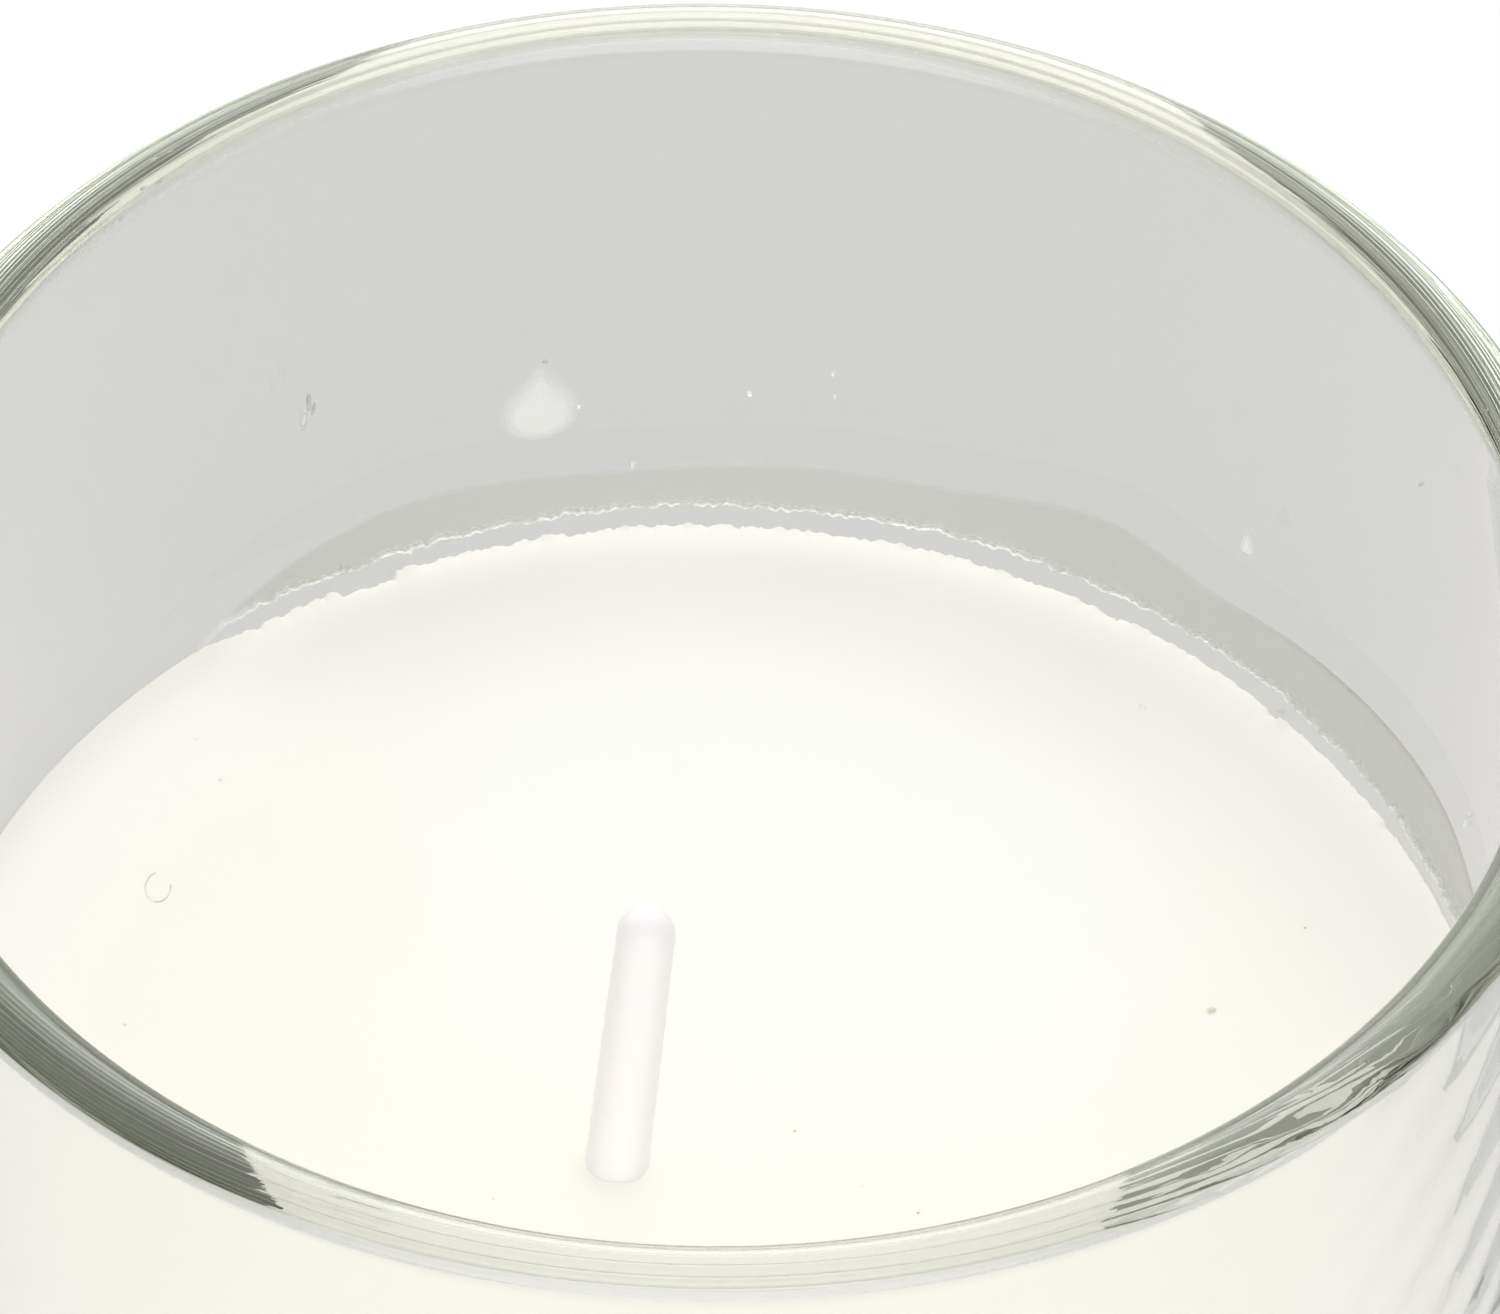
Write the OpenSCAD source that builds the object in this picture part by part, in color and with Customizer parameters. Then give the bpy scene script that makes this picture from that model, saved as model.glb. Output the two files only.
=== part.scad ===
// A poured candle in a clear glass tumbler.
// Millimetres, +Z up. The origin is on the axis, at the level the jar stands on.

/* [Jar] */
// Outside diameter of the jar
jar_d = 80; // [60:0.5:110]
// Height of the jar from the table to the top of its lip
jar_h = 90; // [75:0.5:140]
// Thickness of the glass wall, which is also the thickness of the rounded lip
wall = 3.2; // [2:0.1:5]
// Thickness of the glass between the inside floor and the table
floor_t = 7; // [3:0.1:14]
// Radius where the outside wall turns into the foot
foot_r = 4; // [1:0.1:8]
// Radius where the inside wall turns into the floor
inner_r = 5; // [1:0.1:12]
// Width of the flat ring that the jar stands on
rest_ring_w = 6; // [2:0.1:12]
// Height of the hollow under the foot, at its middle
push_up_h = 1; // [0.3:0.05:2.5]

/* [Wax] */
// Depth of the wax above the inside floor
fill_depth = 50.4; // [25:0.1:62]
// Height that the wax climbs up the glass at its edge
edge_climb = 0.6; // [0.2:0.05:0.8]
// Height that the wax climbs up the wick
wick_climb = 0.7; // [0.2:0.05:1.5]

/* [Wick] */
// Diameter of the waxed cotton wick where it leaves the wax
wick_d = 3; // [1.5:0.05:4.5]
// Diameter of the wick just below its rounded tip
wick_tip_d = 2.7; // [1.3:0.05:4.4]
// Length of the wick above the wax, measured straight up
wick_exposed = 17.2; // [6:0.1:24]
// Place of the wick in the wax surface, across the jar
wick_x = -4.1; // [-12:0.1:12]
// Place of the wick in the wax surface, front to back
wick_y = -4.8; // [-12:0.1:12]
// Lean of the exposed wick towards +X, in degrees
wick_lean = 4.6; // [1:0.1:12]
// Radius of the bend between the upright run and the leaning one
lean_bend_r = 30; // [10:1:60]

/* [Wick tab] */
// Diameter of the steel tab that holds the foot of the wick
tab_d = 20; // [16:0.5:30]
// Thickness of the tab's sheet steel
tab_t = 0.3; // [0.2:0.05:0.6]
// Height of the crimped neck above the tab
neck_h = 6; // [3:0.1:12]
// Radius of the bend between the tab and its neck
neck_root_r = 1.2; // [0.6:0.1:2]
// Height of the rib pressed into the tab
rib_h = 0.5; // [0.2:0.05:1]
// Distance of the rib's ridge from the edge of the tab
rib_inset = 3.5; // [1.5:0.1:4]
// How far the tab stands out past the adhesive disc under it
tab_overhang = 1; // [0:0.1:4]
// Thickness of the adhesive disc
sticker_t = 0.8; // [0.3:0.1:2]

/* [Wax left on the glass] */
// Height of the bare crack between the wax and the film above it
crack_h = 1.65; // [1.2:0.05:2.4]
// Thickness of the film at its broken lower edge
film_t = 0.35; // [0.15:0.05:0.8]
// Thickness of the film at its smooth upper edge
film_edge_t = 0.12; // [0.05:0.01:0.3]
// Depth of the teeth in the broken edge
tooth_h = 0.3; // [0:0.05:0.5]
// Width of the large drop
drop_w = 3.8; // [2:0.1:6]
// How far the large drop stands out of the glass
drop_out = 1; // [0.4:0.05:1.8]
// Height of the large drop's middle above the wax
drop_up = 8.5; // [7.5:0.1:14]
// Height of the large drop's point above its round part
drop_tail = 1.3; // [0.3:0.1:4]
// Direction of the large drop from the axis, in degrees
drop_angle = 103.8; // [0:0.1:360]
// Width of the small drop
bead_w = 1.1; // [0.6:0.05:2.5]
// How far the small drop stands out of the glass
bead_out = 0.4; // [0.2:0.05:0.55]
// Height of the small drop's middle above the wax
bead_up = 9.6; // [7.5:0.1:14]
// Height of the small drop's point above its round part
bead_tail = 0.65; // [0.2:0.05:2]
// Direction of the small drop from the axis, in degrees
bead_angle = 46.4; // [0:0.1:360]

/* [Hidden] */
$fn = 128;

// A little more than a surface, for cutters that run past it
past = 1;

outer_rad = jar_d / 2;
bore_rad = outer_rad - wall;
lip_rad = wall / 2;
lip_z = jar_h - lip_rad;
foot_flat_rad = outer_rad - foot_r;
ring_inner_rad = foot_flat_rad - rest_ring_w;
push_up_rad = (pow(ring_inner_rad, 2) + pow(push_up_h, 2)) / (2 * push_up_h);
wax_z = floor_t + fill_depth;

sticker_z = floor_t;
tab_z = sticker_z + sticker_t;
tab_rad = tab_d / 2;
sticker_rad = tab_rad - tab_overhang;
rib_rad = tab_rad - rib_inset;
neck_rad = wick_d / 2 + tab_t;
neck_top = tab_z + tab_t + neck_h;

// The wick swings from the tab's middle to its place in the surface in one S of two equal arcs.
least_swing = 0.01;
wick_swing = max(norm([wick_x, wick_y]), least_swing);
wick_turn = atan2(wick_y, wick_x);
lean_start = wax_z - lean_bend_r * sin(wick_lean);
swing_rise = lean_start - neck_top;
swing_angle = 2 * atan(wick_swing / swing_rise);
swing_r = swing_rise / (2 * sin(swing_angle));
wick_rad = wick_d / 2;
tip_rad = wick_tip_d / 2;
run_foot = [wick_x + lean_bend_r * (1 - cos(wick_lean)), wick_y, wax_z];
run_aim = [sin(wick_lean), 0, cos(wick_lean)];
lean_run = (wick_exposed - tip_rad) / cos(wick_lean);
wick_sides = 20;
wick_flat_rad = wick_rad * cos(180 / wick_sides);
swing_steps = 7;
lean_steps = 2;
dome_step = 18;

// The upper edge of the film: direction from the axis in degrees, and height above the wax.
FILM_TOP = [
    [-25, 1.9], [-14, 3.0], [0, 3.9], [12, 4.7], [19, 6.1], [27, 6.25], [40, 5.6], [49.5, 5.1],
    [59, 6.2], [72, 4.8], [84, 4.5], [96, 4.1], [103, 4.3], [113, 4.6], [120.5, 3.9], [127, 2.7],
    [133, 1.1]
];
film_first = FILM_TOP[0][0];
film_last = FILM_TOP[len(FILM_TOP) - 1][0];
film_step = 1;
film_least_h = 0.3;
FILM_ANGLES = [film_first:film_step:film_last];

drop_steps = 15;
drop_rings = 5;
drop_fullness = 2.4;

// A smooth curve through the points of a list, read at x.
function slope(pts, i) =
    let (a = pts[max(i - 1, 0)], b = pts[min(i + 1, len(pts) - 1)])
    (b[1] - a[1]) / (b[0] - a[0]);
function span(pts, x, i = 0) =
    (i >= len(pts) - 2 || x < pts[i + 1][0]) ? i : span(pts, x, i + 1);
function curve(pts, x) =
    let (
        i = span(pts, x),
        w = pts[i + 1][0] - pts[i][0],
        t = (x - pts[i][0]) / w
    )
    pts[i][1] * (2 * pow(t, 3) - 3 * pow(t, 2) + 1)
    + slope(pts, i) * w * (pow(t, 3) - 2 * pow(t, 2) + t)
    + pts[i + 1][1] * (3 * pow(t, 2) - 2 * pow(t, 3))
    + slope(pts, i + 1) * w * (pow(t, 3) - pow(t, 2));

// The film's edges above the wax. The teeth are three waves that never fall in step.
function film_top(a) = curve(FILM_TOP, a);
function teeth(a) = tooth_h * (sin(41 * a) + 0.6 * sin(97 * a + 40) + 0.4 * sin(163 * a + 110)) / 2;
function film_low(a) = max(
    min(crack_h + teeth(a), film_top(a) - film_least_h),
    edge_climb + film_least_h / 2
);
function on_wall(a, inwards, up) = [
    (bore_rad - inwards) * cos(a),
    (bore_rad - inwards) * sin(a),
    wax_z + up
];

// A flat corner whose one side is a quarter circle, for a bead that climbs a wall at x = 0.
module climb_profile(r) {
    difference() {
        square(r);
        translate([r, r]) circle(r);
    }
}

// Half of a solid section with one rounded lower corner, from the axis out to rad.
module rounded_section(rad, low, high, r) {
    translate([0, low + r]) square([rad, high - low - r]);
    translate([0, low]) square([rad - r, high - low]);
    translate([rad - r, low + r]) circle(r);
}

// The inside of the jar from its floor up to a level.
module bore_section(level) {
    rounded_section(bore_rad, floor_t, level, inner_r);
}

module upper_half(size) {
    intersection() {
        children();
        translate([-size, 0]) square([2 * size, size]);
    }
}

module jar() {
    color([0.80, 0.86, 0.82, 0.35])
    rotate_extrude() {
        difference() {
            rounded_section(outer_rad, 0, lip_z, foot_r);
            bore_section(jar_h);
            translate([0, push_up_h - push_up_rad]) circle(push_up_rad, $fn = 900);
        }
        translate([outer_rad - lip_rad, lip_z]) circle(lip_rad);
    }
}

// A place on a bend that starts straight up: how far it has swung and risen, and which way it points.
function on_bend(r, a) = [r * (1 - cos(a)), r * sin(a)];
function aim(turn, a) = [sin(a) * cos(turn), sin(a) * sin(turn), cos(a)];

// The wick's stations from its foot up, each a centre, a direction and a radius.
function swing_station(out, up, a) =
    [[out * cos(wick_turn), out * sin(wick_turn), up], aim(wick_turn, a), wick_rad];
function lean_station(a) =
    let (p = on_bend(lean_bend_r, a))
    [[wick_x + p[0], wick_y, lean_start + p[1]], aim(0, a), wick_rad];
function run_station(along, rad) = [run_foot + along * run_aim, run_aim, rad];
WICK_STATIONS = concat(
    [swing_station(0, tab_z + tab_t, 0)],
    [for (i = [0:swing_steps])
        let (a = swing_angle * i / swing_steps, p = on_bend(swing_r, a))
        swing_station(p[0], neck_top + p[1], a)],
    [for (i = [swing_steps - 1:-1:0])
        let (a = swing_angle * i / swing_steps, p = on_bend(swing_r, a))
        swing_station(wick_swing - p[0], lean_start - p[1], a)],
    [for (i = [1:lean_steps]) lean_station(wick_lean * i / lean_steps)],
    [run_station(lean_run, tip_rad)],
    [for (a = [dome_step:dome_step:90 - dome_step / 2])
        run_station(lean_run + tip_rad * sin(a), tip_rad * cos(a))]
);

// The corners of a round section square to its direction.
function section(station) =
    let (
        aimed = station[1],
        side = cross([0, 1, 0], aimed) / norm(cross([0, 1, 0], aimed)),
        back = cross(aimed, side)
    )
    [for (j = [0:wick_sides - 1])
        let (a = 360 * j / wick_sides)
        station[0] + station[2] * (cos(a) * side + sin(a) * back)];

// The wick's whole solid, also used to cut its way through the wax.
module wick_solid() {
    swept([for (station = WICK_STATIONS) section(station)]);
}

// A closed skin over a row of rings that all have the same number of corners.
module swept(rings) {
    sides = len(rings[0]);
    last = len(rings) - 1;
    first_cap = [for (j = [0:sides - 1]) j];
    last_cap = [for (j = [0:sides - 1]) last * sides + sides - 1 - j];
    skin = [for (i = [0:last - 1], j = [0:sides - 1]) [
        i * sides + j,
        (i + 1) * sides + j,
        (i + 1) * sides + (j + 1) % sides,
        i * sides + (j + 1) % sides
    ]];
    polyhedron(
        points = [for (ring = rings) each ring],
        faces = concat([first_cap, last_cap], skin),
        convexity = 6
    );
}

// Places its children where the leaning run starts, in the wax surface, along that run.
module on_lean() {
    translate(run_foot) rotate([0, wick_lean, 0]) children();
}

module wick() {
    color([0.95, 0.94, 0.95]) wick_solid();
}

// Half of the tab's section from its underside up, with its neck still closed.
module tab_section() {
    square([tab_rad, tab_t]);
    square([neck_rad, tab_t + neck_h]);
    translate([neck_rad, tab_t]) climb_profile(neck_root_r);
    translate([rib_rad, tab_t]) upper_half(rib_h) circle(rib_h);
}

module wick_tab() {
    color([0.72, 0.73, 0.75])
    difference() {
        translate([0, 0, tab_z]) rotate_extrude() tab_section();
        translate([0, 0, tab_z + tab_t]) cylinder(r = wick_rad, h = neck_h + past);
    }
}

module wick_sticker() {
    color([0.90, 0.90, 0.88])
    translate([0, 0, sticker_z]) cylinder(r = sticker_rad, h = sticker_t);
}

// What the wax was poured round: the tab on its adhesive disc.
module tab_on_sticker() {
    rotate_extrude() {
        translate([0, tab_z]) tab_section();
        translate([0, sticker_z - past]) square([sticker_rad, sticker_t + past]);
    }
}

// The wax that crept up round the foot of the wick.
module wick_collar() {
    wide = wick_flat_rad + wick_climb;
    waist = wick_flat_rad + wick_climb / 3;
    on_lean() rotate_extrude() polygon([
        [0, -wick_rad], [wide, -wick_rad], [wide, 0],
        [waist, wick_climb / 3], [wick_flat_rad, wick_climb], [0, wick_climb]
    ]);
}

module wax() {
    color([0.99, 0.98, 0.91])
    difference() {
        union() {
            rotate_extrude() {
                bore_section(wax_z);
                translate([bore_rad, wax_z]) mirror([1, 0]) climb_profile(edge_climb);
            }
            wick_collar();
        }
        union() {
            tab_on_sticker();
            wick_solid();
        }
    }
}

module wax_film() {
    color([0.97, 0.97, 0.93, 0.6])
    swept([for (a = FILM_ANGLES) [
        on_wall(a, 0, film_low(a)),
        on_wall(a, film_t, film_low(a)),
        on_wall(a, film_edge_t, film_top(a)),
        on_wall(a, 0, film_top(a))
    ]]);
}

// The outline of a drop that ran down: a round foot under two straight sides that meet in a point.
function drop_outline(w, tail) =
    let (rad = w / 2, point = rad + tail, touch = asin(rad / point), sweep = 180 + 2 * touch)
    concat([[0, point]], [for (i = [0:drop_steps])
        let (a = touch - sweep * i / drop_steps)
        rad * [cos(a), sin(a)]]);

// A drop of set wax: shrinking copies of its outline, each further from the glass, up to its crown.
module drop(w, out, up, tail, angle) {
    outline = drop_outline(w, tail);
    sides = len(outline);
    rings = [for (k = [0:drop_rings - 1])
        let (share = 1 - k / drop_rings)
        [for (p = outline) on_wall(
            angle + share * p[0] * 180 / (PI * bore_rad),
            out * (1 - pow(share, drop_fullness)),
            up + share * p[1]
        )]];
    crown = drop_rings * sides;
    heart = crown + 1;
    points = concat(
        [for (ring = rings) each ring],
        [on_wall(angle, out, up), on_wall(angle, 0, up)]
    );
    skin = [for (k = [0:drop_rings - 2], j = [0:sides - 1]) [
        k * sides + j,
        k * sides + (j + 1) % sides,
        (k + 1) * sides + (j + 1) % sides,
        (k + 1) * sides + j
    ]];
    cap = [for (j = [0:sides - 1]) [crown - sides + j, crown - sides + (j + 1) % sides, crown]];
    back = [for (j = [0:sides - 1]) [(j + 1) % sides, j, heart]];
    polyhedron(points = points, faces = concat(skin, cap, back), convexity = 4);
}

module wax_drops() {
    color([0.96, 0.96, 0.92, 0.8]) {
        drop(drop_w, drop_out, drop_up, drop_tail, drop_angle);
        drop(bead_w, bead_out, bead_up, bead_tail, bead_angle);
    }
}

jar();
wax();
wick();
wick_tab();
wick_sticker();
wax_film();
wax_drops();
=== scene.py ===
import math

import bmesh
import bpy
from bpy.props import FloatProperty, FloatVectorProperty, IntProperty, PointerProperty
from mathutils import Matrix, Vector, noise


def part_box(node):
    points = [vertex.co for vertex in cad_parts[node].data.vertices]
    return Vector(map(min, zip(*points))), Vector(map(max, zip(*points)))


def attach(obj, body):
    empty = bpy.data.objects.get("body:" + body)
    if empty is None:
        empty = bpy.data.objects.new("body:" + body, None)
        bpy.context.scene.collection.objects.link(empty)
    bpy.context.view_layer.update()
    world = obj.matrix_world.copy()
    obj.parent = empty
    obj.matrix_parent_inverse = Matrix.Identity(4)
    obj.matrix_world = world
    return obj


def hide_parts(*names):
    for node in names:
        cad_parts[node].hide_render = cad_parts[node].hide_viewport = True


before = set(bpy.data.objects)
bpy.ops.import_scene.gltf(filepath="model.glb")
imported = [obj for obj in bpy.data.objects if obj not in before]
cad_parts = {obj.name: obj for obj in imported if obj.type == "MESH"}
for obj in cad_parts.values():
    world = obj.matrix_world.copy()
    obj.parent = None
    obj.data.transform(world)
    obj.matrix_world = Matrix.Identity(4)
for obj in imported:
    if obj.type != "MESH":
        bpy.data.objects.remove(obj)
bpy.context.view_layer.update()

bl_info = {
    "name": "Poured jar candle",
    "version": (1, 0, 0),
    "blender": (4, 5, 0),
    "location": "3D View > Sidebar > Candle",
    "description": "Builds a poured candle in a clear glass tumbler round its packed model",
    "category": "Object",
}

MM = 0.001

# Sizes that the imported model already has
jar_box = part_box("jar")
wax_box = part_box("wax")
tab_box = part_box("wick_tab")
OUTER_RAD = jar_box[1].x
BORE_RAD = wax_box[1].x
LIP_RAD = (OUTER_RAD - BORE_RAD) / 2
LIP_Z = jar_box[1].z - LIP_RAD
FLOOR_Z = wax_box[0].z
FILL_DEPTH = 50.4 * MM
WAX_Z = FLOOR_Z + FILL_DEPTH


class JarSizes(bpy.types.PropertyGroup):
    foot_rad: FloatProperty(
        name="Foot radius", description="Radius where the outside wall turns into the foot",
        default=4 * MM, unit="LENGTH")
    inner_rad: FloatProperty(
        name="Inner radius", description="Radius where the inside wall turns into the floor",
        default=5 * MM, unit="LENGTH")
    ring_width: FloatProperty(
        name="Ring width", description="Width of the flat ring that the jar stands on",
        default=6 * MM, unit="LENGTH")
    push_up: FloatProperty(
        name="Push-up", description="Height of the hollow under the foot",
        default=1 * MM, unit="LENGTH")
    waist: FloatProperty(
        name="Waist", description="How much the wall thins from the lip down to the level of the wax",
        default=0.4 * MM, unit="LENGTH")
    row_height: FloatProperty(
        name="Row height", description="Height of one row of faces on the walls",
        default=1.5 * MM, unit="LENGTH")
    segments: IntProperty(
        name="Segments", description="Faces round the jar", default=288, min=32, max=360)
    wave_depth: FloatProperty(
        name="Wave depth", description="How far the blown walls swell and thin",
        default=0.06 * MM, unit="LENGTH")
    wave_scale: FloatProperty(
        name="Wave scale", description="Waves to the metre round the walls", default=26.0)
    wave_pitch: FloatProperty(
        name="Wave pitch", description="How much closer the waves lie up and down than round", default=2.2)
    fold_depth: FloatProperty(
        name="Fold depth", description="Depth of the slanting folds in one side of the outer wall",
        default=0.07 * MM, unit="LENGTH")
    fold_turn: FloatProperty(
        name="Fold direction", description="Direction of the folds from the middle of the jar",
        default=math.radians(326), subtype="ANGLE")
    fold_pitch: FloatProperty(
        name="Fold pitch", description="Height from one fold to the next", default=5.9 * MM, unit="LENGTH")
    absorption: FloatProperty(
        name="Absorption", description="How fast the glass takes up light, to the metre", default=5.0)
    tint: FloatVectorProperty(
        name="Tint", description="Colour that the glass takes on where it is thick",
        default=(0.45, 0.55, 0.30), subtype="COLOR")


class WaxSizes(bpy.types.PropertyGroup):
    colour: FloatVectorProperty(
        name="Wax", description="Colour of the poured wax", default=(0.945, 0.92, 0.81), subtype="COLOR")
    # Whiter tone of the clouds, and of the painted highlight on the wax
    frost_and_highlight: FloatVectorProperty(
        name="Frost", description="Colour of the whiter patches", default=(0.965, 0.955, 0.94),
        subtype="COLOR")
    edge: FloatVectorProperty(
        name="Edge", description="Colour where the wax cooled against the glass",
        default=(0.965, 0.93, 0.895), subtype="COLOR")
    # Painted highlight: a paler cream along the crest of the broken wax under the film
    torn_highlight: FloatVectorProperty(
        name="Torn edge", description="Colour of the broken wax under the film",
        default=(0.985, 0.96, 0.88), subtype="COLOR")
    edge_climb: FloatProperty(
        name="Edge climb", description="Height that the wax climbs up the glass",
        default=0.75 * MM, unit="LENGTH")
    wick_climb: FloatProperty(
        name="Wick climb", description="Height that the wax climbs up the wick",
        default=0.4 * MM, unit="LENGTH")
    swell: FloatProperty(
        name="Swell", description="Depth of the soft swells in the surface",
        default=0.06 * MM, unit="LENGTH")
    tooth: FloatProperty(
        name="Tooth", description="Size of the teeth along the broken edges",
        default=0.32 * MM, unit="LENGTH")
    sink: FloatProperty(
        name="Contact", description="How far the wax reaches into the glass, as it wets it",
        default=0.04 * MM, unit="LENGTH")
    shrink: FloatProperty(
        name="Shrink", description="Gap where the wax shrank away from the glass",
        default=0.10 * MM, unit="LENGTH")
    fine_step: FloatProperty(
        name="Fine step", description="Angle between columns under the torn edge, in degrees", default=0.24)
    wide_step: FloatProperty(
        name="Wide step", description="Angle between columns elsewhere, in degrees", default=0.8)


class WickSizes(bpy.types.PropertyGroup):
    foot_width: FloatProperty(
        name="Foot width", description="Diameter where the wick leaves the wax",
        default=3.0 * MM, unit="LENGTH")
    tip_width: FloatProperty(
        name="Tip width", description="Diameter just below the rounded tip",
        default=2.7 * MM, unit="LENGTH")
    exposed: FloatProperty(
        name="Exposed length", description="Length above the wax, straight up",
        default=17.2 * MM, unit="LENGTH")
    lean: FloatProperty(
        name="Lean", description="Lean of the exposed wick", default=math.radians(4.6), subtype="ANGLE")
    braid_depth: FloatProperty(
        name="Braid depth", description="Depth of the braid that shows through its coat",
        default=0.035 * MM, unit="LENGTH")
    braid_pitch: FloatProperty(
        name="Braid pitch", description="Length of one turn of the braid",
        default=5.5 * MM, unit="LENGTH")
    colour: FloatVectorProperty(
        name="Wick", description="Colour of the waxed cotton", default=(0.965, 0.905, 0.93),
        subtype="COLOR")
    pale: FloatVectorProperty(
        name="Pale patches", description="Colour where the wick's coat of wax is thicker",
        default=(0.955, 0.92, 0.92), subtype="COLOR")


class FilmSizes(bpy.types.PropertyGroup):
    crack: FloatProperty(
        name="Crack", description="Height of the bare glass between wax and film",
        default=1.65 * MM, unit="LENGTH")
    low_thickness: FloatProperty(
        name="Broken edge", description="Thickness at the broken lower edge",
        default=0.32 * MM, unit="LENGTH")
    top_thickness: FloatProperty(
        name="Smooth edge", description="Thickness near the smooth upper edge",
        default=0.12 * MM, unit="LENGTH")
    colour: FloatVectorProperty(
        name="Film", description="Colour of the wax where it is thin", default=(0.47, 0.465, 0.42),
        subtype="COLOR")
    thick: FloatVectorProperty(
        name="Thick film", description="Colour of the wax where it is thick", default=(0.96, 0.955, 0.935),
        subtype="COLOR")
    line: FloatProperty(
        name="Line", description="Width of the white line along the broken edge",
        default=0.20 * MM, unit="LENGTH")
    cover: FloatProperty(
        name="Cover", description="How much the film hides what is behind it", default=0.30,
        subtype="FACTOR")


class StageSizes(bpy.types.PropertyGroup):
    lens: FloatProperty(
        name="Lens", description="Focal length of the camera on a 36 mm wide sensor",
        default=252.0, unit="CAMERA")
    floor_side: FloatProperty(
        name="Floor side", description="Side of the pale floor", default=6.0, unit="LENGTH")
    floor_colour: FloatVectorProperty(
        name="Floor", description="Colour of the floor that light meets", default=(0.72, 0.72, 0.715),
        subtype="COLOR")
    floor_white: FloatProperty(
        name="Floor white", description="White of the floor as the camera sees it", default=1.08)
    floor_in_glass: FloatProperty(
        name="Floor in glass", description="Pale grey of the floor as glass and steel show it",
        default=0.61)
    # Painted shadow: the dark grey that glass shows of the floor under the candle
    floor_painted_shadow: FloatProperty(
        name="Floor below", description="Grey of the floor that glass shows from under the candle",
        default=0.17)
    sky_top: FloatProperty(
        name="Overhead", description="Brightness of the studio straight up", default=0.48)
    sky_back: FloatProperty(
        name="Back", description="Brightness of the studio behind the candle, a little above eye level",
        default=1.9)
    box_level: FloatProperty(
        name="Soft box", description="Brightness of the soft box high behind the candle", default=1.3)
    sky_front: FloatProperty(
        name="Front", description="Brightness of the studio behind the camera, at eye level", default=2.6)
    sky_side: FloatProperty(
        name="Sides", description="Brightness of the studio round the candle at eye level", default=0.3)
    key_power: FloatProperty(
        name="Key lamp", description="Power of the soft lamp overhead", default=0.7, unit="POWER")


SIZE_GROUPS = {
    "candle_jar": JarSizes,
    "candle_wax": WaxSizes,
    "candle_wick": WickSizes,
    "candle_film": FilmSizes,
    "candle_stage": StageSizes,
}


# Sockets of a Mix node that have no name of their own: its colours, its blend of them and its plain values
MIX_COLOURS = (6, 7)
MIX_BLEND = 2
MIX_VALUES = (2, 3)


class Graph:
    """A node tree with short calls to add nodes and join them."""

    def __init__(self, tree):
        self.tree = tree

    def add(self, kind, **settings):
        node = self.tree.nodes.new(kind)
        for name, value in settings.items():
            setattr(node, name, value)
        return node

    def join(self, value, socket):
        """Feed a socket from an output, or set it to a plain value."""
        if isinstance(value, bpy.types.NodeSocket):
            self.tree.links.new(value, socket)
        else:
            socket.default_value = value

    def node(self, kind, inputs=(), **settings):
        made = self.add(kind, **settings)
        for name, value in dict(inputs).items():
            self.join(value, made.inputs[name])
        return made

    def maths(self, operation, *values):
        made = self.add("ShaderNodeMath", operation=operation)
        for socket, value in zip(made.inputs, values):
            self.join(value, socket)
        return made.outputs[0]

    def vector(self, x, y, z):
        return self.node("ShaderNodeCombineXYZ", {"X": x, "Y": y, "Z": z}).outputs[0]

    def map_range(self, value, from_low, from_high, to_low=0.0, to_high=1.0, smooth=False):
        made = self.node("ShaderNodeMapRange", {
            "Value": value, "From Min": from_low, "From Max": from_high,
            "To Min": to_low, "To Max": to_high})
        if smooth:
            made.interpolation_type = "SMOOTHSTEP"
        return made.outputs["Result"]

    def mix_colour(self, share, a, b):
        made = self.add("ShaderNodeMix", data_type="RGBA")
        self.join(share, made.inputs["Factor"])
        for value, place in zip((a, b), MIX_COLOURS):
            self.join(value, made.inputs[place])
        return made.outputs[MIX_BLEND]


def rgba(colour, alpha=1.0):
    return (*colour, alpha)


def sockets(tree, inputs, outputs):
    """Name a group's inputs, with their defaults, and its outputs."""
    for name, (kind, default) in inputs.items():
        made = tree.interface.new_socket(name, in_out="INPUT", socket_type=kind)
        if default is not None:
            made.default_value = default
    for name, kind in outputs.items():
        tree.interface.new_socket(name, in_out="OUTPUT", socket_type=kind)
    graph = Graph(tree)
    return graph, graph.add("NodeGroupInput").outputs, graph.add("NodeGroupOutput").inputs


# Shader groups that more than one finish uses

def mottle_group():
    """Soft clouds and fine grain in object space, as set wax and pressed foam have."""
    tree = bpy.data.node_groups.new("Mottle", "ShaderNodeTree")
    graph, given, out = sockets(
        tree,
        {"Cloud Scale": ("NodeSocketFloat", 60.0), "Grain Scale": ("NodeSocketFloat", 2500.0),
         "Vector": ("NodeSocketVector", None)},
        {"Clouds": "NodeSocketFloat", "Grain": "NodeSocketFloat"})
    clouds = graph.node("ShaderNodeTexNoise", {
        "Vector": given["Vector"], "Scale": given["Cloud Scale"], "Detail": 1.0, "Roughness": 0.5})
    grain = graph.node("ShaderNodeTexNoise", {
        "Vector": given["Vector"], "Scale": given["Grain Scale"], "Detail": 0.0})
    graph.join(graph.map_range(clouds.outputs["Fac"], 0.35, 0.65, smooth=True), out["Clouds"])
    graph.join(grain.outputs["Fac"], out["Grain"])
    return tree


def material(name):
    """A new material, its graph and its Principled shader."""
    made = bpy.data.materials.new(name)
    made.use_nodes = True
    graph = Graph(made.node_tree)
    shader = made.node_tree.nodes["Principled BSDF"]
    return made, graph, shader


def place_in_object(graph):
    return graph.add("ShaderNodeTexCoord").outputs["Object"]


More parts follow.
